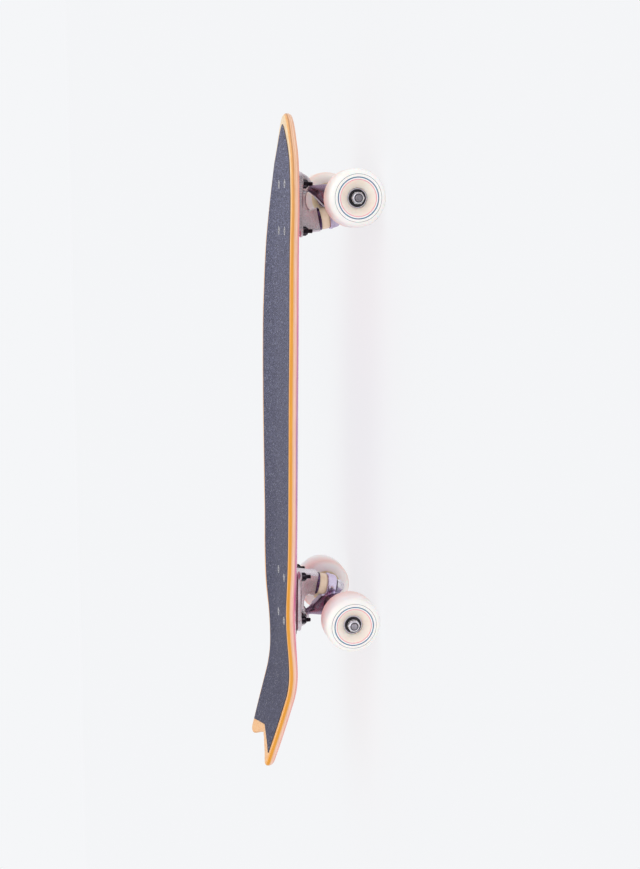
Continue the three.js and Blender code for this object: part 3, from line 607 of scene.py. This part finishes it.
def woodFinish():
    look = woodLook
    material, shader = startMaterial("mapleWood", look["roughness"], Coat_Roughness=look["coatRoughness"])
    place = objectPlace()
    along, depth = axes(place)["X"], times(sheetPlace()["Y"], sheetUnit)

    def stretched(scale):
        return addNode("Mapping", {"Vector": place, "Scale": scale}).outputs[0]

    def swayed(value, waves, reach):
        return plus(value, ranged(waves, *noiseSpan, -reach, reach))
    grain = noise(stretched(look["grainStretch"]), 1.6, 8, Roughness=0.62, Distortion=0.4)
    pores = noise(stretched(look["poreStretch"]), 2.2, 4)
    shifted = swayed(depth, noise(place, 26, 3), look["plyWander"])
    plies, paler = (rampOf(shifted, table, 0, sheetUnit, "CONSTANT") for table in (deckPlies, nosePlies))
    toned = mixColor(ranged(along, *look["paleNose"]), plies, paler)
    toned = mixColor(ranged(grain, *look["grainShare"]), toned, look["grainTone"], "MULTIPLY")
    toned = mixColor(ranged(pores, *look["poreShare"]), toned, look["poreTone"])
    waves = noise(place, 9, 2, Distortion=0.6)
    low, high = look["fadeEnds"]
    step = (high - low) / (len(paintColors) - 1)
    fade = [(low + step * k, color) for k, color in enumerate(paintColors)]
    paint = rampOf(swayed(along, waves, look["paintSway"]), fade, low, high)
    paint = mixColor(ranged(grain, *look["paintShare"]), paint, look["paintGrain"])
    edgePaint = ranged(minus(shifted, sheetUnit - look["paintClimb"]), -0.15, 0.15)
    painted = mixColor(edgePaint, toned, paint)
    link(ranged(depth, 9.6, 10, 0.25, 0.8), shader.inputs["Coat Weight"])
    rough = ranged(grain, *noiseSpan, *look["roughSpan"])
    dress(shader, painted, rough, grain, look["bump"], look["bumpDepth"])
    return material


gripLook = {
    "roughness": 0.85, "gritSize": 980, "clumpSize": 420, "sparkSize": 430, "dark": (20, 20, 33),
    "light": (147, 149, 183), "clump": (54, 53, 71), "spark": (184, 184, 206), "tail": (54, 52, 70),
    "cut": (58, 44, 50), "tailFade": (0.36, -0.27, 0, 0.55), "gritSpan": (0.45, 0.55),
    "clumpShare": (0.43, 0.57, 0, 0.55), "sparkSpan": (0.86, 0.9), "sparkReach": (0.5, 0.25),
    "roughSpan": (0.88, 0.4), "bump": 0.6, "bumpDepth": 0.0003,
}


def gripFinish():
    look = gripLook
    material, shader = startMaterial("gripGrit", look["roughness"])
    place = objectPlace()
    grit, clumps = (noise(place, look[size], detail, Roughness=0.7)
                    for size, detail in (("gritSize", 3), ("clumpSize", 2)))
    cells = addNode("TexVoronoi", {"Vector": place, "Scale": look["sparkSize"]}, feature="F1").outputs
    spark = addNode("SeparateColor", {0: cells["Color"]}).outputs[0]
    # sparkles are grains painted lighter as glints, and smoother so they also catch real reflections
    sparkle = times(ranged(spark, *look["sparkSpan"]), ranged(cells["Distance"], *look["sparkReach"]))
    body = mixColor(ranged(grit, *look["gritSpan"]), look["dark"], look["light"])
    for share, color in (
            (ranged(clumps, *look["clumpShare"]), "clump"), (times(sparkle, 0.6), "spark"),
            (ranged(axes(place)["X"], *look["tailFade"]), "tail"),  # darker towards the tail
            (ranged(sheetPlace()["Y"], 0.01, 0.03), "cut")):
        body = mixColor(share, body, look[color])
    height = plus(grit, times(clumps, 0.6))
    dress(shader, body, ranged(sparkle, 0, 1, *look["roughSpan"]), height, look["bump"], look["bumpDepth"])
    return material


finishes["mapleWood"] = woodFinish()
finishes["gripGrit"] = gripFinish()

outline = deckOutline()
grip = gripOutline(outline)
thick, proud = board["thickness"], board["gripProud"]
edgeLayers = [(insetOutline(outline, lambda x: rimRadius(x) * a), lambda x, b=b: rimRadius(x) * b)
              for a, b in deckLook["rim"]]
edgeLayers += [(o, lambda x, drop=drop: thick - drop(x)) for o, drop in edgeLayers[::-1]]
deckMesh = bentSheet("deckSheet", [(grip, lambda x: 0), *edgeLayers, (grip, lambda x: thick)], deckTop)
deckMesh = shaped(deckMesh, cutBy(boltCones(deckTop, 0)))
gripLayers = [(grip, lambda x: 0), (grip, lambda x: proud - gripShape["lift"])]  # right on the wood
gripMesh = shaped(bentSheet("gripSheet", gripLayers, deckTop + proud),
                  cutBy(boltCones(gripTop, gripShape["holeClearance"])))
addPiece("mapleDeck", deckMesh, ["mapleWood"], "board", "deck")
addPiece("gripSheet", gripMesh, ["gripGrit"], "board", "grip_tape")
print("deck and grip made")


# riser, baseplate and pivot cup; block and boss are a half width and a chamfer, and a casting is
# the size of its voxels and the rounds that smooth it
plateLook = {
    "length": 73.5, "width": 55, "thickness": 5.7, "shift": 3.75, "corner": 8, "soft": 1.1, "block": (13, 2.2),
    "boss": (11, 2.4), "holeRadius": 2.8, "headTop": -25.16, "headRoom": 7.7, "headFloor": 4.5, "pinHole": 5.06,
    "room": 30, "cupBottom": -7, "cupDepth": 12.6, "cupRadius": 7, "cupFit": 0.3, "socketRadius": 4.95,
    "riserLength": 79, "riserWidth": 56, "riserShift": 6, "riserThickness": 3.2, "riserSoft": 0.4,
    "casting": (0.55, 5),
}
blockOutline = [(-31, -3), (-29.5, -13), (-27, -31.8), (1.1, -27.6), (-1.6, -21.2), (-2.5, -17),
                (0.9, -12.8), (6.6, -10.9), (13.2, -11), (18.4, -12.5), (19.8, -3)]
bossOutline = [(14, -3), (17.5, -14.3), (27.2, -18.4), (32.5, -17.2), (36.7, -13), (39.6, -7.5), (40, -3)]
nutPad = [(0, -3), (7.2, -3), (7.2, -5.7), (6.6, -6.1), (0, -6.1)]


def atBolts(name, profile, segments):  # one on each bolt line of a truck
    return [turned(name, profile, segments, (Vector((sx * trucks["boltX"], sy * trucks["boltY"], 0)), up))
            for sx, sy in corners]


def boltHoles(low, high):
    return atBolts("hole", rod(plateLook["holeRadius"], low, high), 32)


def makeBaseplate():
    look = plateLook
    shells = [
        plateMesh("plate", look["length"], look["width"], look["corner"], -look["thickness"], 0, look["soft"],
                  look["shift"]),
        slab("block", [Vector(p) for p in blockOutline], *look["block"]),
        slab("boss", splined(bossOutline, 3), *look["boss"]),
        *atBolts("pad", nutPad, 40),
    ]
    floor, far = look["headTop"] + look["headFloor"], look["room"]
    pin = [(0, -40), (look["headRoom"], -40), (look["headRoom"], floor), (look["pinHole"], floor),
           (look["pinHole"], 0), (far, 0), (far, far), (0, far)]
    cup = rod(look["cupRadius"] + look["cupFit"], look["cupBottom"] - look["cupFit"], 18)
    body = melted("plateShells", shells, *look["casting"])
    for cutter in [turned("pin", pin, 64, pinLine), turned("cup", cup, 48, legLine), *boltHoles(-9, 2)]:
        body = shaped(body, cutBy(cutter, "FAST"))
    return body


def makeRiser():
    look = plateLook
    pad = plateMesh("riser", look["riserLength"], look["riserWidth"], look["corner"], board["gap"],
                    board["gap"] + look["riserThickness"], look["riserSoft"], look["riserShift"])
    return shaped(pad, cutBy(joined("holes", boltHoles(-2, 6))))


def makeCup():
    look = plateLook
    low, high = look["cupBottom"], look["cupBottom"] + look["cupDepth"]
    reach, socket = look["cupRadius"], look["socketRadius"]
    profile = [(0, low), (reach - 1.2, low), (reach, low + 1.2), (reach, high), (socket + 0.7, high),
               (socket, high - 1.2), (socket, 0)]
    profile += [(socket * cos(a * pi / 16), -socket * sin(a * pi / 16)) for a in range(1, 8)]
    return turned("cup", softened(profile + [(0, -socket)], 0.3), 48, legLine)


# hanger
hangerLook = {
    "halfLength": 77.4, "endRadius": 9.1, "rootRadius": 13.6, "lift": 4, "web": (9, 2.4), "ballRadius": 4.4,
    "collarRadius": 14.4, "collarStart": 13.3, "seatRadius": 13.2, "seat": 14.6, "pinRoom": 6, "mouth": 19.2,
    "mouthRadius": 10.8, "roomFit": 0.3, "domeFoot": 3.4, "domeRise": 8.5, "domePull": 1.8, "domeEnd": 25.2,
    "shoulderRadius": 5.8, "arms": (1.0, 8), "casting": (0.5, 9),
}
legShares = [(0.11, 0.31), (0.2, 0.345), (0.31, 0.49), (0.5, 0.775), (0.7, 0.97), (0.86, 1), (1, 0.9)]
beamShares = [(1, 0, 0), (0.78, 0.07, 0), (0.55, 0.22, 0.05), (0.36, 0.5, 0.3), (0.2, 0.84, 0.7), (0, 1, 1)]
webShares = [(0.56, 0.44), (0.3, 0.553), (-0.03, 0.7), (-0.41, 0.83), (-0.25, 1.03), (0.16, 1.15),
             (0.65, 1.1), (0.82, 0.76), (0.78, 0.5)]


def makeHanger():
    look = hangerLook
    legLength = (axlePoint - ballPoint).length
    ball, root, half = look["ballRadius"], look["rootRadius"], look["halfLength"]
    profile = [(0, -ball)] + [(ball * cos(a), ball * sin(a)) for a in (-1.2, -0.8, -0.4, 0, 0.35)]
    profile += [(root * r, legLength * along) for along, r in splined(legShares, 4, closed=False)]
    leg = turned("leg", profile + [(0, legLength)], 64, legLine)
    side = splined([Vector(row) for row in beamShares], 4, closed=False)
    rings = []
    for along, growth, lift in [*side, *((-p[0], p[1], p[2]) for p in side[:-1][::-1])]:
        radius = look["endRadius"] + (root - look["endRadius"]) * growth
        rings.append([(trucks["axleOffset"] + radius * sin(a * pi / 32), along * (half - 1.6),
                       look["lift"] * lift - trucks["height"] + radius * cos(a * pi / 32)) for a in range(64)])
    outline = splined([Vector((x * trucks["ball"][0], -z * trucks["height"])) for x, z in webShares], 5)
    web = slab("web", outline, *look["web"])
    start, seat, mouth, collar = look["collarStart"], look["seat"], look["mouth"], look["collarRadius"]
    outer, pinRoom, inner = look["seatRadius"], look["pinRoom"], look["mouthRadius"]
    seats = [(inner, mouth), (pinRoom, mouth), (pinRoom, seat), (outer, seat)]
    room = [(0, -40), (collar + look["roomFit"], -40), (collar + look["roomFit"], start), (outer, start),
            *seats[::-1], (inner, 60), (0, 60)]
    arms = melted("arms", [leg, ringLoft("beam", rings), web], *look["arms"])
    arms = shaped(arms, cutBy(turned("room", room, 96, pinLine), "FAST"))
    foot, pull, rise = start + look["domeFoot"], look["domePull"], look["domeRise"]
    dome = [(collar - 0.8 - pull * (1 - cos(a * pi / 12)), foot + rise * sin(a * pi / 12)) for a in range(7)]
    boss = [(outer, start), (collar - 0.4, start), (collar, start + 0.4), (collar, foot - 0.5),
            (collar - 0.3, foot), *dome, (inner, look["domeEnd"]), *seats]
    shoulder = rod(look["shoulderRadius"], -half, half)
    made = melted("hangerShells", [arms, turned("ring", boss, 96, pinLine, closed=True),
                                   turned("shoulder", shoulder, 48, onAxle(0, 1))], *look["casting"])

    def onDome(middle):  # the dome round the bushings takes the brighter copy of the metal, a painted highlight
        away = middle - seatPoint
        station = away.dot(kingpinAxis)
        return start - 1 < station and (away - kingpinAxis * station).length < collar + 0.6
    return secondFinish(made, onDome)


# kingpin, washers, bushings, nuts, bolts and axle; a nut is its flats, height, hole and locking ring,
# and a cupped washer its radius, height and place on the kingpin
stackLook = {
    "pinRadius": 4.76, "pinLength": 36.7, "pinThread": 22, "pinHeadRadius": 7.4, "pinHeadHeight": 4.2,
    "threadPitch": 1.0, "threadDepth": 0.28, "nutBase": 27.5, "kingpinNut": (14.29, 7.2, 5.06, (5.6, 6.2)),
    "axleRadius": 3.97, "axleHalf": 110.7, "axleNut": (12.7, 6.3, 4.27, (5.8, 4.7)), "washerAt": 102,
    "axleNutAt": 103.1, "boltRadius": 2.42, "boltLength": 33, "boltThread": 16, "boltHead": 4.75,
    "boltRim": 4.1, "socketMouth": 2.5, "deckNut": (9.5, 6.2, 2.72), "deckNutTop": -6.0,
    "upperWasher": (13.4, 3.3, 0.3), "lowerWasher": (8, -1.4, 27.2), "washerWall": 0.9, "bushingRings": 1.1,
}
speedWasher = [(4.27, 0), (6.4, 0), (6.4, 0.8), (4.27, 0.8)]
upperRubber = [(5.06, 1.5), (11.2, 1.5), (12.9, 4.9), (12.9, 11.9), (11.7, 14.3), (6.1, 14.3), (6.1, 7.5)]
lowerRubber = [(5.85, 22.5), (5.85, 19.5), (9.6, 19.5), (9.6, 20.7), (6.5, 26), (5.06, 26)]


def onAxle(station, side):
    return axlePoint + Vector((0, side * station, 0)), Vector((0, side, 0))


def threaded(radius, start, end, pitch, depth):  # crest and root rings stand in for a thread
    count = max(int(abs(end - start) / pitch), 1)
    step = (end - start) / count
    made = []
    for i in range(count):
        made += [(radius - depth, start + step * i), (radius, start + step * (i + 0.5))]
    return made + [(radius - depth, end)]


def lockNut(flats, height, hole, ring=None):  # a chamfered hexagon under a round collar
    crown = flats / 2 * 1.06
    hexTop, collar = height - 1.5, flats / 2 - 0.55
    profile = [(hole, 0.3), (hole + 0.4, 0), (crown, 0), (flats, 0.5, flats), (flats, hexTop - 0.6, flats),
               (crown * 0.98, hexTop), (collar, hexTop), (collar, height - 0.5), (collar - 0.5, height),
               (hole + 0.5, height), (hole, height - 0.4)]
    made = lathe("nut", profile, 60, closed=True)
    if ring:  # the height it starts at and its outer radius
        secondFinish(made, lambda middle: middle.z > ring[0] and hypot(middle.x, middle.y) < ring[1])
    return made


def makeKingpin():
    look = stackLook
    top, head, radius = plateLook["headTop"], look["pinHeadRadius"], look["pinRadius"]
    shoulder, thread, end = top + look["pinHeadHeight"], look["pinThread"], look["pinLength"]
    profile = [(0, top), (head - 0.5, top), (head, top + 0.6), (head, shoulder), (radius, shoulder),
               (radius, thread), *threaded(radius, thread, end - 0.7, look["threadPitch"], look["threadDepth"])]
    return turned("kingpin", profile + [(4.0, end), (0, end)], 40, pinLine)


def cuppedWasher(radius, height, base):
    sign, hole, thick = 1 if height > 0 else -1, plateLook["pinHole"], stackLook["washerWall"]
    wall = thick * sign
    profile = [(hole, base), (radius - 0.8, base), (radius, base + 0.8 * sign), (radius, base + height),
               (radius - thick, base + height), (radius - thick, base + wall + 0.4 * sign),
               (radius - 1.3, base + wall), (hole, base + wall)]
    return turned("washer", softened(profile, 0.25, 3, True), 72, pinLine, closed=True)


def bushing(points):  # with rings close together along its profile
    rounded = softened(points, 0.9, 5, True)
    profile = []
    for a, b in zip(rounded, rounded[1:] + rounded[:1]):
        count = max(round(dist(a, b) / stackLook["bushingRings"]), 1)
        profile += [(a[0] + (b[0] - a[0]) * k / count, a[1] + (b[1] - a[1]) * k / count) for k in range(count)]
    return turned("bushing", profile, 72, pinLine, closed=True)


def makeAxle():
    half, radius = stackLook["axleHalf"], stackLook["axleRadius"]
    profile = [(0, -half), (radius - 0.8, -half), (radius - 0.28, 0.6 - half)]
    profile += threaded(radius, 0.8 - half, 9.5 - half, 0.9, 0.26) + [(radius, 10.2 - half)]
    return turned("axle", profile + [(r, -s) for r, s in profile[::-1]], 40, onAxle(0, 1))


def makeBolt(x, y):
    look = stackLook
    radius, end, thread = look["boltRadius"], look["boltLength"], look["boltThread"]
    profile = [(0, 1.8), (9, 1.7, 3.1), (9, 0.12, 3.1), (2.2, 0.0), (look["socketMouth"], 0),
               (look["boltRim"], 0), (look["boltHead"] - 0.2, 0), (look["boltHead"], 0.2), (2.6, 2.45),
               (radius, 2.7), (radius, thread)]
    profile += threaded(radius, thread, end - 0.4, 0.8, 0.22) + [(1.9, end), (0, end)]
    top = Vector((x, y, gripTop - trucks["mountHeight"]))

    def rubbed(middle):  # the head's rim and the socket's mouth are bright
        reach = hypot(middle.x - x, middle.y - y)
        return middle.z > top.z - 0.15 and not look["socketMouth"] < reach < look["boltRim"]
    return secondFinish(turned("bolt", profile, 36, (top, down)), rubbed)


# wheels and bearings; a stripe is its start and end past the cone, and its colour
wheelLook = {
    "radius": 32.5, "outerFace": 108.7, "innerFace": 66.7, "lipRadius": 8.2, "faceRadius": 24.4,
    "mouthRadius": 19.8, "ribInner": 84.7, "ribOuter": 94.7, "outerBearing": 101.7, "innerBearing": 77.7,
    "seatRadius": 11.3, "ribRadius": 9, "segments": 128, "gloss": 0.36, "cream": (251, 248, 245),
    "shade": (248, 244, 239), "paintedBounce": (243, 208, 196), "core": (250, 238, 228), "coreDark": (244, 229, 215),
    "backCore": (250, 232, 196), "paintedBounceReach": (32, 52, 56, 62), "pink": (240, 132, 156),
    "blue": (62, 112, 152), "navy": (58, 68, 96), "stripes": ((2, 3.2, "blue"), (6, 6.4, "navy")),
    "roughSpan": (0.32, 0.44), "bump": 0.06,
}
bearingWidth = 7
bearingFace = [(4.27, 0.3), (4.5, 0), (5.8, 0), (5.9, 0.35), (9.7, 0.35), (9.85, 0), (10.7, 0), (11, 0.3)]
shieldReach = (5.85, 9.8)  # the bearing's dark shield, between its bright races


def wheelProfile():
    look = wheelLook
    arc = [a * pi / 16 for a in range(9)]
    face, back, rim = look["outerFace"], look["innerFace"], look["faceRadius"]
    drop, gain = look["lipRadius"], look["radius"] - rim
    outer = [(rim + gain * sin(a), face - drop * (1 - cos(a))) for a in arc]
    inner = [(rim + gain * sin(a), back + drop * (1 - cos(a))) for a in arc[::-1]]
    seat, mouth, rib = look["seatRadius"], look["mouthRadius"], look["ribRadius"]
    hub = [(seat, look["outerBearing"] + 0.7), (seat + 0.35, look["outerBearing"] + 1.0),
           (mouth - 0.5, face - 0.35), (mouth + 0.3, face)]
    backHub = [(mouth + 0.3, back), (mouth - 0.6, back + 0.5), (seat + 0.35, look["innerBearing"] - 1.0),
               (seat, look["innerBearing"] - 0.7)]
    low, high = look["ribInner"] + 0.3, look["ribOuter"] - 0.3
    return hub + outer + inner + backHub + [(seat, low), (rib, low), (rib, high), (seat, high)]


def urethaneFinish():  # cream urethane with plain printed stripes
    look = wheelLook
    material, shader = startMaterial("creamUrethane", look["gloss"], Subsurface_Weight=0.4,
                                     Subsurface_Scale=0.012, Subsurface_Radius=(1, 0.6, 0.5))
    profile = wheelProfile()
    lengths = [dist(a, b) for a, b in zip(profile, profile[1:])]
    coneEnd, backCone = sum(lengths[:3]), sum(lengths[:22])  # the outer cone's end and the back one's start
    across = times(sheetPlace()["Y"], turnedUnit)
    spots = addGroup(mottle, Size=30, Fine_Size=1200)

    def band(low, high, edge=0.1):
        return times(ranged(across, low - edge, low + edge), ranged(across, high + edge, high - edge))
    body = mixColor(spots["Mask"], look["shade"], look["cream"])
    # a pink band on the tread's inner side is painted shade and painted bounce light from the deck's pink
    # underside
    rise, full, fall, gone = look["paintedBounceReach"]
    paintedBounceMask = times(ranged(across, rise, full), ranged(across, gone, fall))
    body = mixColor(times(paintedBounceMask, 0.8), body, look["paintedBounce"])
    core = mixColor(spots["Mask"], look["coreDark"], look["core"])
    body = mixColor(ranged(across, coneEnd, coneEnd - 0.5), body, core)
    body = mixColor(ranged(across, backCone, backCone + 0.5), body, look["backCore"])
    for low, high, name in look["stripes"]:
        body = mixColor(band(coneEnd + low, coneEnd + high), body, look[name])
    body = mixColor(band(coneEnd - 0.25, coneEnd + 0.5), body, look["pink"])
    rough = ranged(spots["Height"], *noiseSpan, *look["roughSpan"])
    dress(shader, body, rough, spots["Height"], look["bump"])
    return material


def makeBearing(station, side):
    back = [(r, bearingWidth - z) for r, z in bearingFace[::-1]]
    made = lathe("bearing", bearingFace + back, 72, closed=True)
    secondFinish(made, lambda middle: shieldReach[0] < hypot(middle.x, middle.y) < shieldReach[1])
    return aimed(made, *onAxle(station, side))


finishes["creamUrethane"] = urethaneFinish()

# both trucks
baseplate, riser, cup, hanger = makeBaseplate(), makeRiser(), makeCup(), makeHanger()
print("castings made")
kingpin, axle = makeKingpin(), makeAxle()
upperWasher, lowerWasher = (cuppedWasher(*stackLook[name]) for name in ("upperWasher", "lowerWasher"))
rubbers = {"upper_bushing": bushing(upperRubber), "lower_bushing": bushing(lowerRubber)}
nutPlace = seatPoint + kingpinAxis * stackLook["nutBase"]
kingpinNut = aimed(lockNut(*stackLook["kingpinNut"]), nutPlace, kingpinAxis)
wheelMesh = lathe("wheel", wheelProfile(), wheelLook["segments"], closed=True)

for end, facing in truckEnds:
    place = truckPlace[end]
    hangerBody = end + "_truck_hanger"

    def add(node, mesh, materials, body="board"):
        return addPiece(end + "_" + node + "_look", mesh, materials, body, end + "_" + node, place)
    add("riser", riser, ["riserPlastic"])
    add("baseplate", baseplate, ["plateMetal"])
    add("pivot_cup", cup, ["cupPlastic"])
    add("hanger", hanger, ["hangerMetal", "hangerMetalLit"], hangerBody)
    add("kingpin", kingpin, ["brightSteel"])
    add("upper_washer", upperWasher, ["washerMetal"])
    for node, mesh in rubbers.items():
        rubber = add(node, mesh, ["bushingRubber"], None)
        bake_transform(rubber)
    add("lower_washer", lowerWasher, ["washerMetal"])
    add("kingpin_nut", kingpinNut, ["brightSteel", "lockingRing"])
    add("axle", axle, ["axleSteel"], hangerBody)
    for side in (1, -1):
        hand = "left" if side * facing > 0 else "right"
        wheelBody = f"{end}_{hand}_wheel_set"
        wheel = aimed(wheelMesh.copy(), *onAxle(0, side))
        add(hand + "_wheel", wheel, ["creamUrethane"], wheelBody)
        for name, station in (("inner", "innerBearing"), ("outer", "ribOuter")):
            add(f"{hand}_{name}_bearing", makeBearing(wheelLook[station], side),
                ["bearingRaces", "bearingShield"], wheelBody)
        washer = turned("speedWasher", softened(speedWasher, 0.15, 2, True), 48,
                        onAxle(stackLook["washerAt"], side), closed=True)
        add(hand + "_speed_washer", washer, ["brightSteel"], hangerBody)
        nut = aimed(lockNut(*stackLook["axleNut"]), *onAxle(stackLook["axleNutAt"], side))
        add(hand + "_axle_nut", nut, ["brightSteel", "lockingRing"], hangerBody)
    for name, sx in (("outer", 1), ("inner", -1)):
        for sy in (1, -1):
            hand = "left" if sy * facing > 0 else "right"
            x, y = sx * trucks["boltX"], sy * trucks["boltY"]
            add(f"{name}_{hand}_bolt", makeBolt(x, y), ["blackSteel", "brightSteel"])
            nut = aimed(lockNut(*stackLook["deckNut"]), Vector((x, y, stackLook["deckNutTop"])), down)
            add(f"{name}_{hand}_deck_nut", nut, ["blackSteel"])
    print(end, "truck made")


# studio: lamps are (strength, spread in degrees, direction)
studio = {
    "backdrop": (245, 246, 248), "floorColor": 1.02, "ambient": 0.5, "horizon": 0.62,
    "keyLight": (0.2, 45, (0.1, 0.94, -0.26)), "fillLight": (0.78, 60, (-0.4, 0.3, -0.87)), "shadow": 0.17,
    "underLight": 0.64, "dim": 0.1, "card": (0.34, -0.5, 0), "cardReach": (0.3, 0.62), "cardLevel": 0.2,
    "lens": 56.98, "eye": (0.27561, -1.60762, 0.36159), "right": (0.0056921, -0.18741277, -0.98226476),
    "down": (-0.98685627, -0.15969383, 0.02475034),
}


def makeCamera():
    camera = linked("camera", bpy.data.cameras.new("camera"))
    right, low = Vector(studio["right"]), Vector(studio["down"])
    turn = Matrix((right, -low, right.cross(-low))).transposed()
    camera.matrix_world = Matrix.Translation(studio["eye"]) @ turn.to_4x4()
    camera.data.sensor_width = 36
    camera.data.lens = studio["lens"]
    camera.data.clip_start, camera.data.clip_end = 0.05, 60
    bpy.context.scene.camera = camera


def directRays():  # rays that see the backdrop itself: from the camera, a reflection or glass
    path = addNode("LightPath").outputs
    return path, larger(path["Is Camera Ray"], larger(path["Is Glossy Ray"], path["Is Transmission Ray"]))


def makeWorld():
    world = bpy.data.worlds.new("studio")
    bpy.context.scene.world = world
    world.use_nodes = True
    world.node_tree.nodes.clear()
    inHand["tree"] = world.node_tree
    path, direct = directRays()
    direction = axes(addNode("TexCoord").outputs["Generated"])
    toFront = times(direction["Y"], -1)
    behind = ranged(toFront, 0.2, 0.95, 1, studio["dim"])  # metal sees a dimmer studio behind the camera
    level = minus(1, power(direction["Z"], 2))
    around = times(power(level, 2), studio["horizon"])  # brighter walls all round
    shiny = mixColor(behind, (0, 0, 0), studio["backdrop"])
    seen = mixColor(path["Is Camera Ray"], shiny, studio["backdrop"])
    strength = mixValue(direct, plus(around, studio["ambient"]), 1.0)
    color = mixColor(direct, (255, 255, 255), seen)
    shader = addNode("Background", {"Color": color, "Strength": strength})
    link(shader.outputs[0], addNode("OutputWorld").inputs[0])


def makeFloor():
    mesh = makeMesh("floor", [(-30, -30, 0), (30, -30, 0), (30, 30, 0), (-30, 30, 0)], [[0, 1, 2, 3]])
    floor = linked("floor", mesh)
    material, shader = startMaterial("paleFloor", 0.9, Specular_IOR_Level=0.0)
    backdrop = fromScreen(studio["backdrop"])
    shader.inputs["Base Color"].default_value = (*(c * studio["floorColor"] for c in backdrop[:3]), 1)
    path, direct = directRays()
    toCard = addNode("VectorMath", {0: objectPlace(), 1: studio["card"]}, operation="DISTANCE")
    cardDim = ranged(toCard.outputs["Value"], *studio["cardReach"], studio["cardLevel"], 1)
    level = mixValue(path["Is Glossy Ray"], 1.0, cardDim)  # metal sees a dark card in front
    glow = addNode("Emission", {"Color": backdrop, "Strength": level})
    share = ranged(direct, 0, 1, studio["underLight"], 1 - studio["shadow"])  # a soft glow from below
    both = addNode("MixShader", {0: share, 1: shader.outputs[0], 2: glow.outputs[0]})
    below = addNode("NewGeometry").outputs["Backfacing"]  # looking up from below, the floor is clear
    either = addNode("MixShader", {0: below, 1: both.outputs[0], 2: addNode("BsdfTransparent").outputs[0]})
    link(either.outputs[0], material.node_tree.nodes["Material Output"].inputs["Surface"])
    mesh.materials.append(material)


def makeSun(name, strength, spread, direction):
    light = bpy.data.lights.new(name, "SUN")
    light.energy, light.angle = strength, radians(spread)
    lamp = linked(name, light)
    lamp.rotation_mode = "QUATERNION"
    lamp.rotation_quaternion = Vector(direction).to_track_quat("-Z", "Y")


makeCamera()
makeWorld()
makeFloor()
for name in ("keyLight", "fillLight"):
    makeSun(name, *studio[name])
bpy.context.scene.view_settings.view_transform = "Standard"
print("studio made")
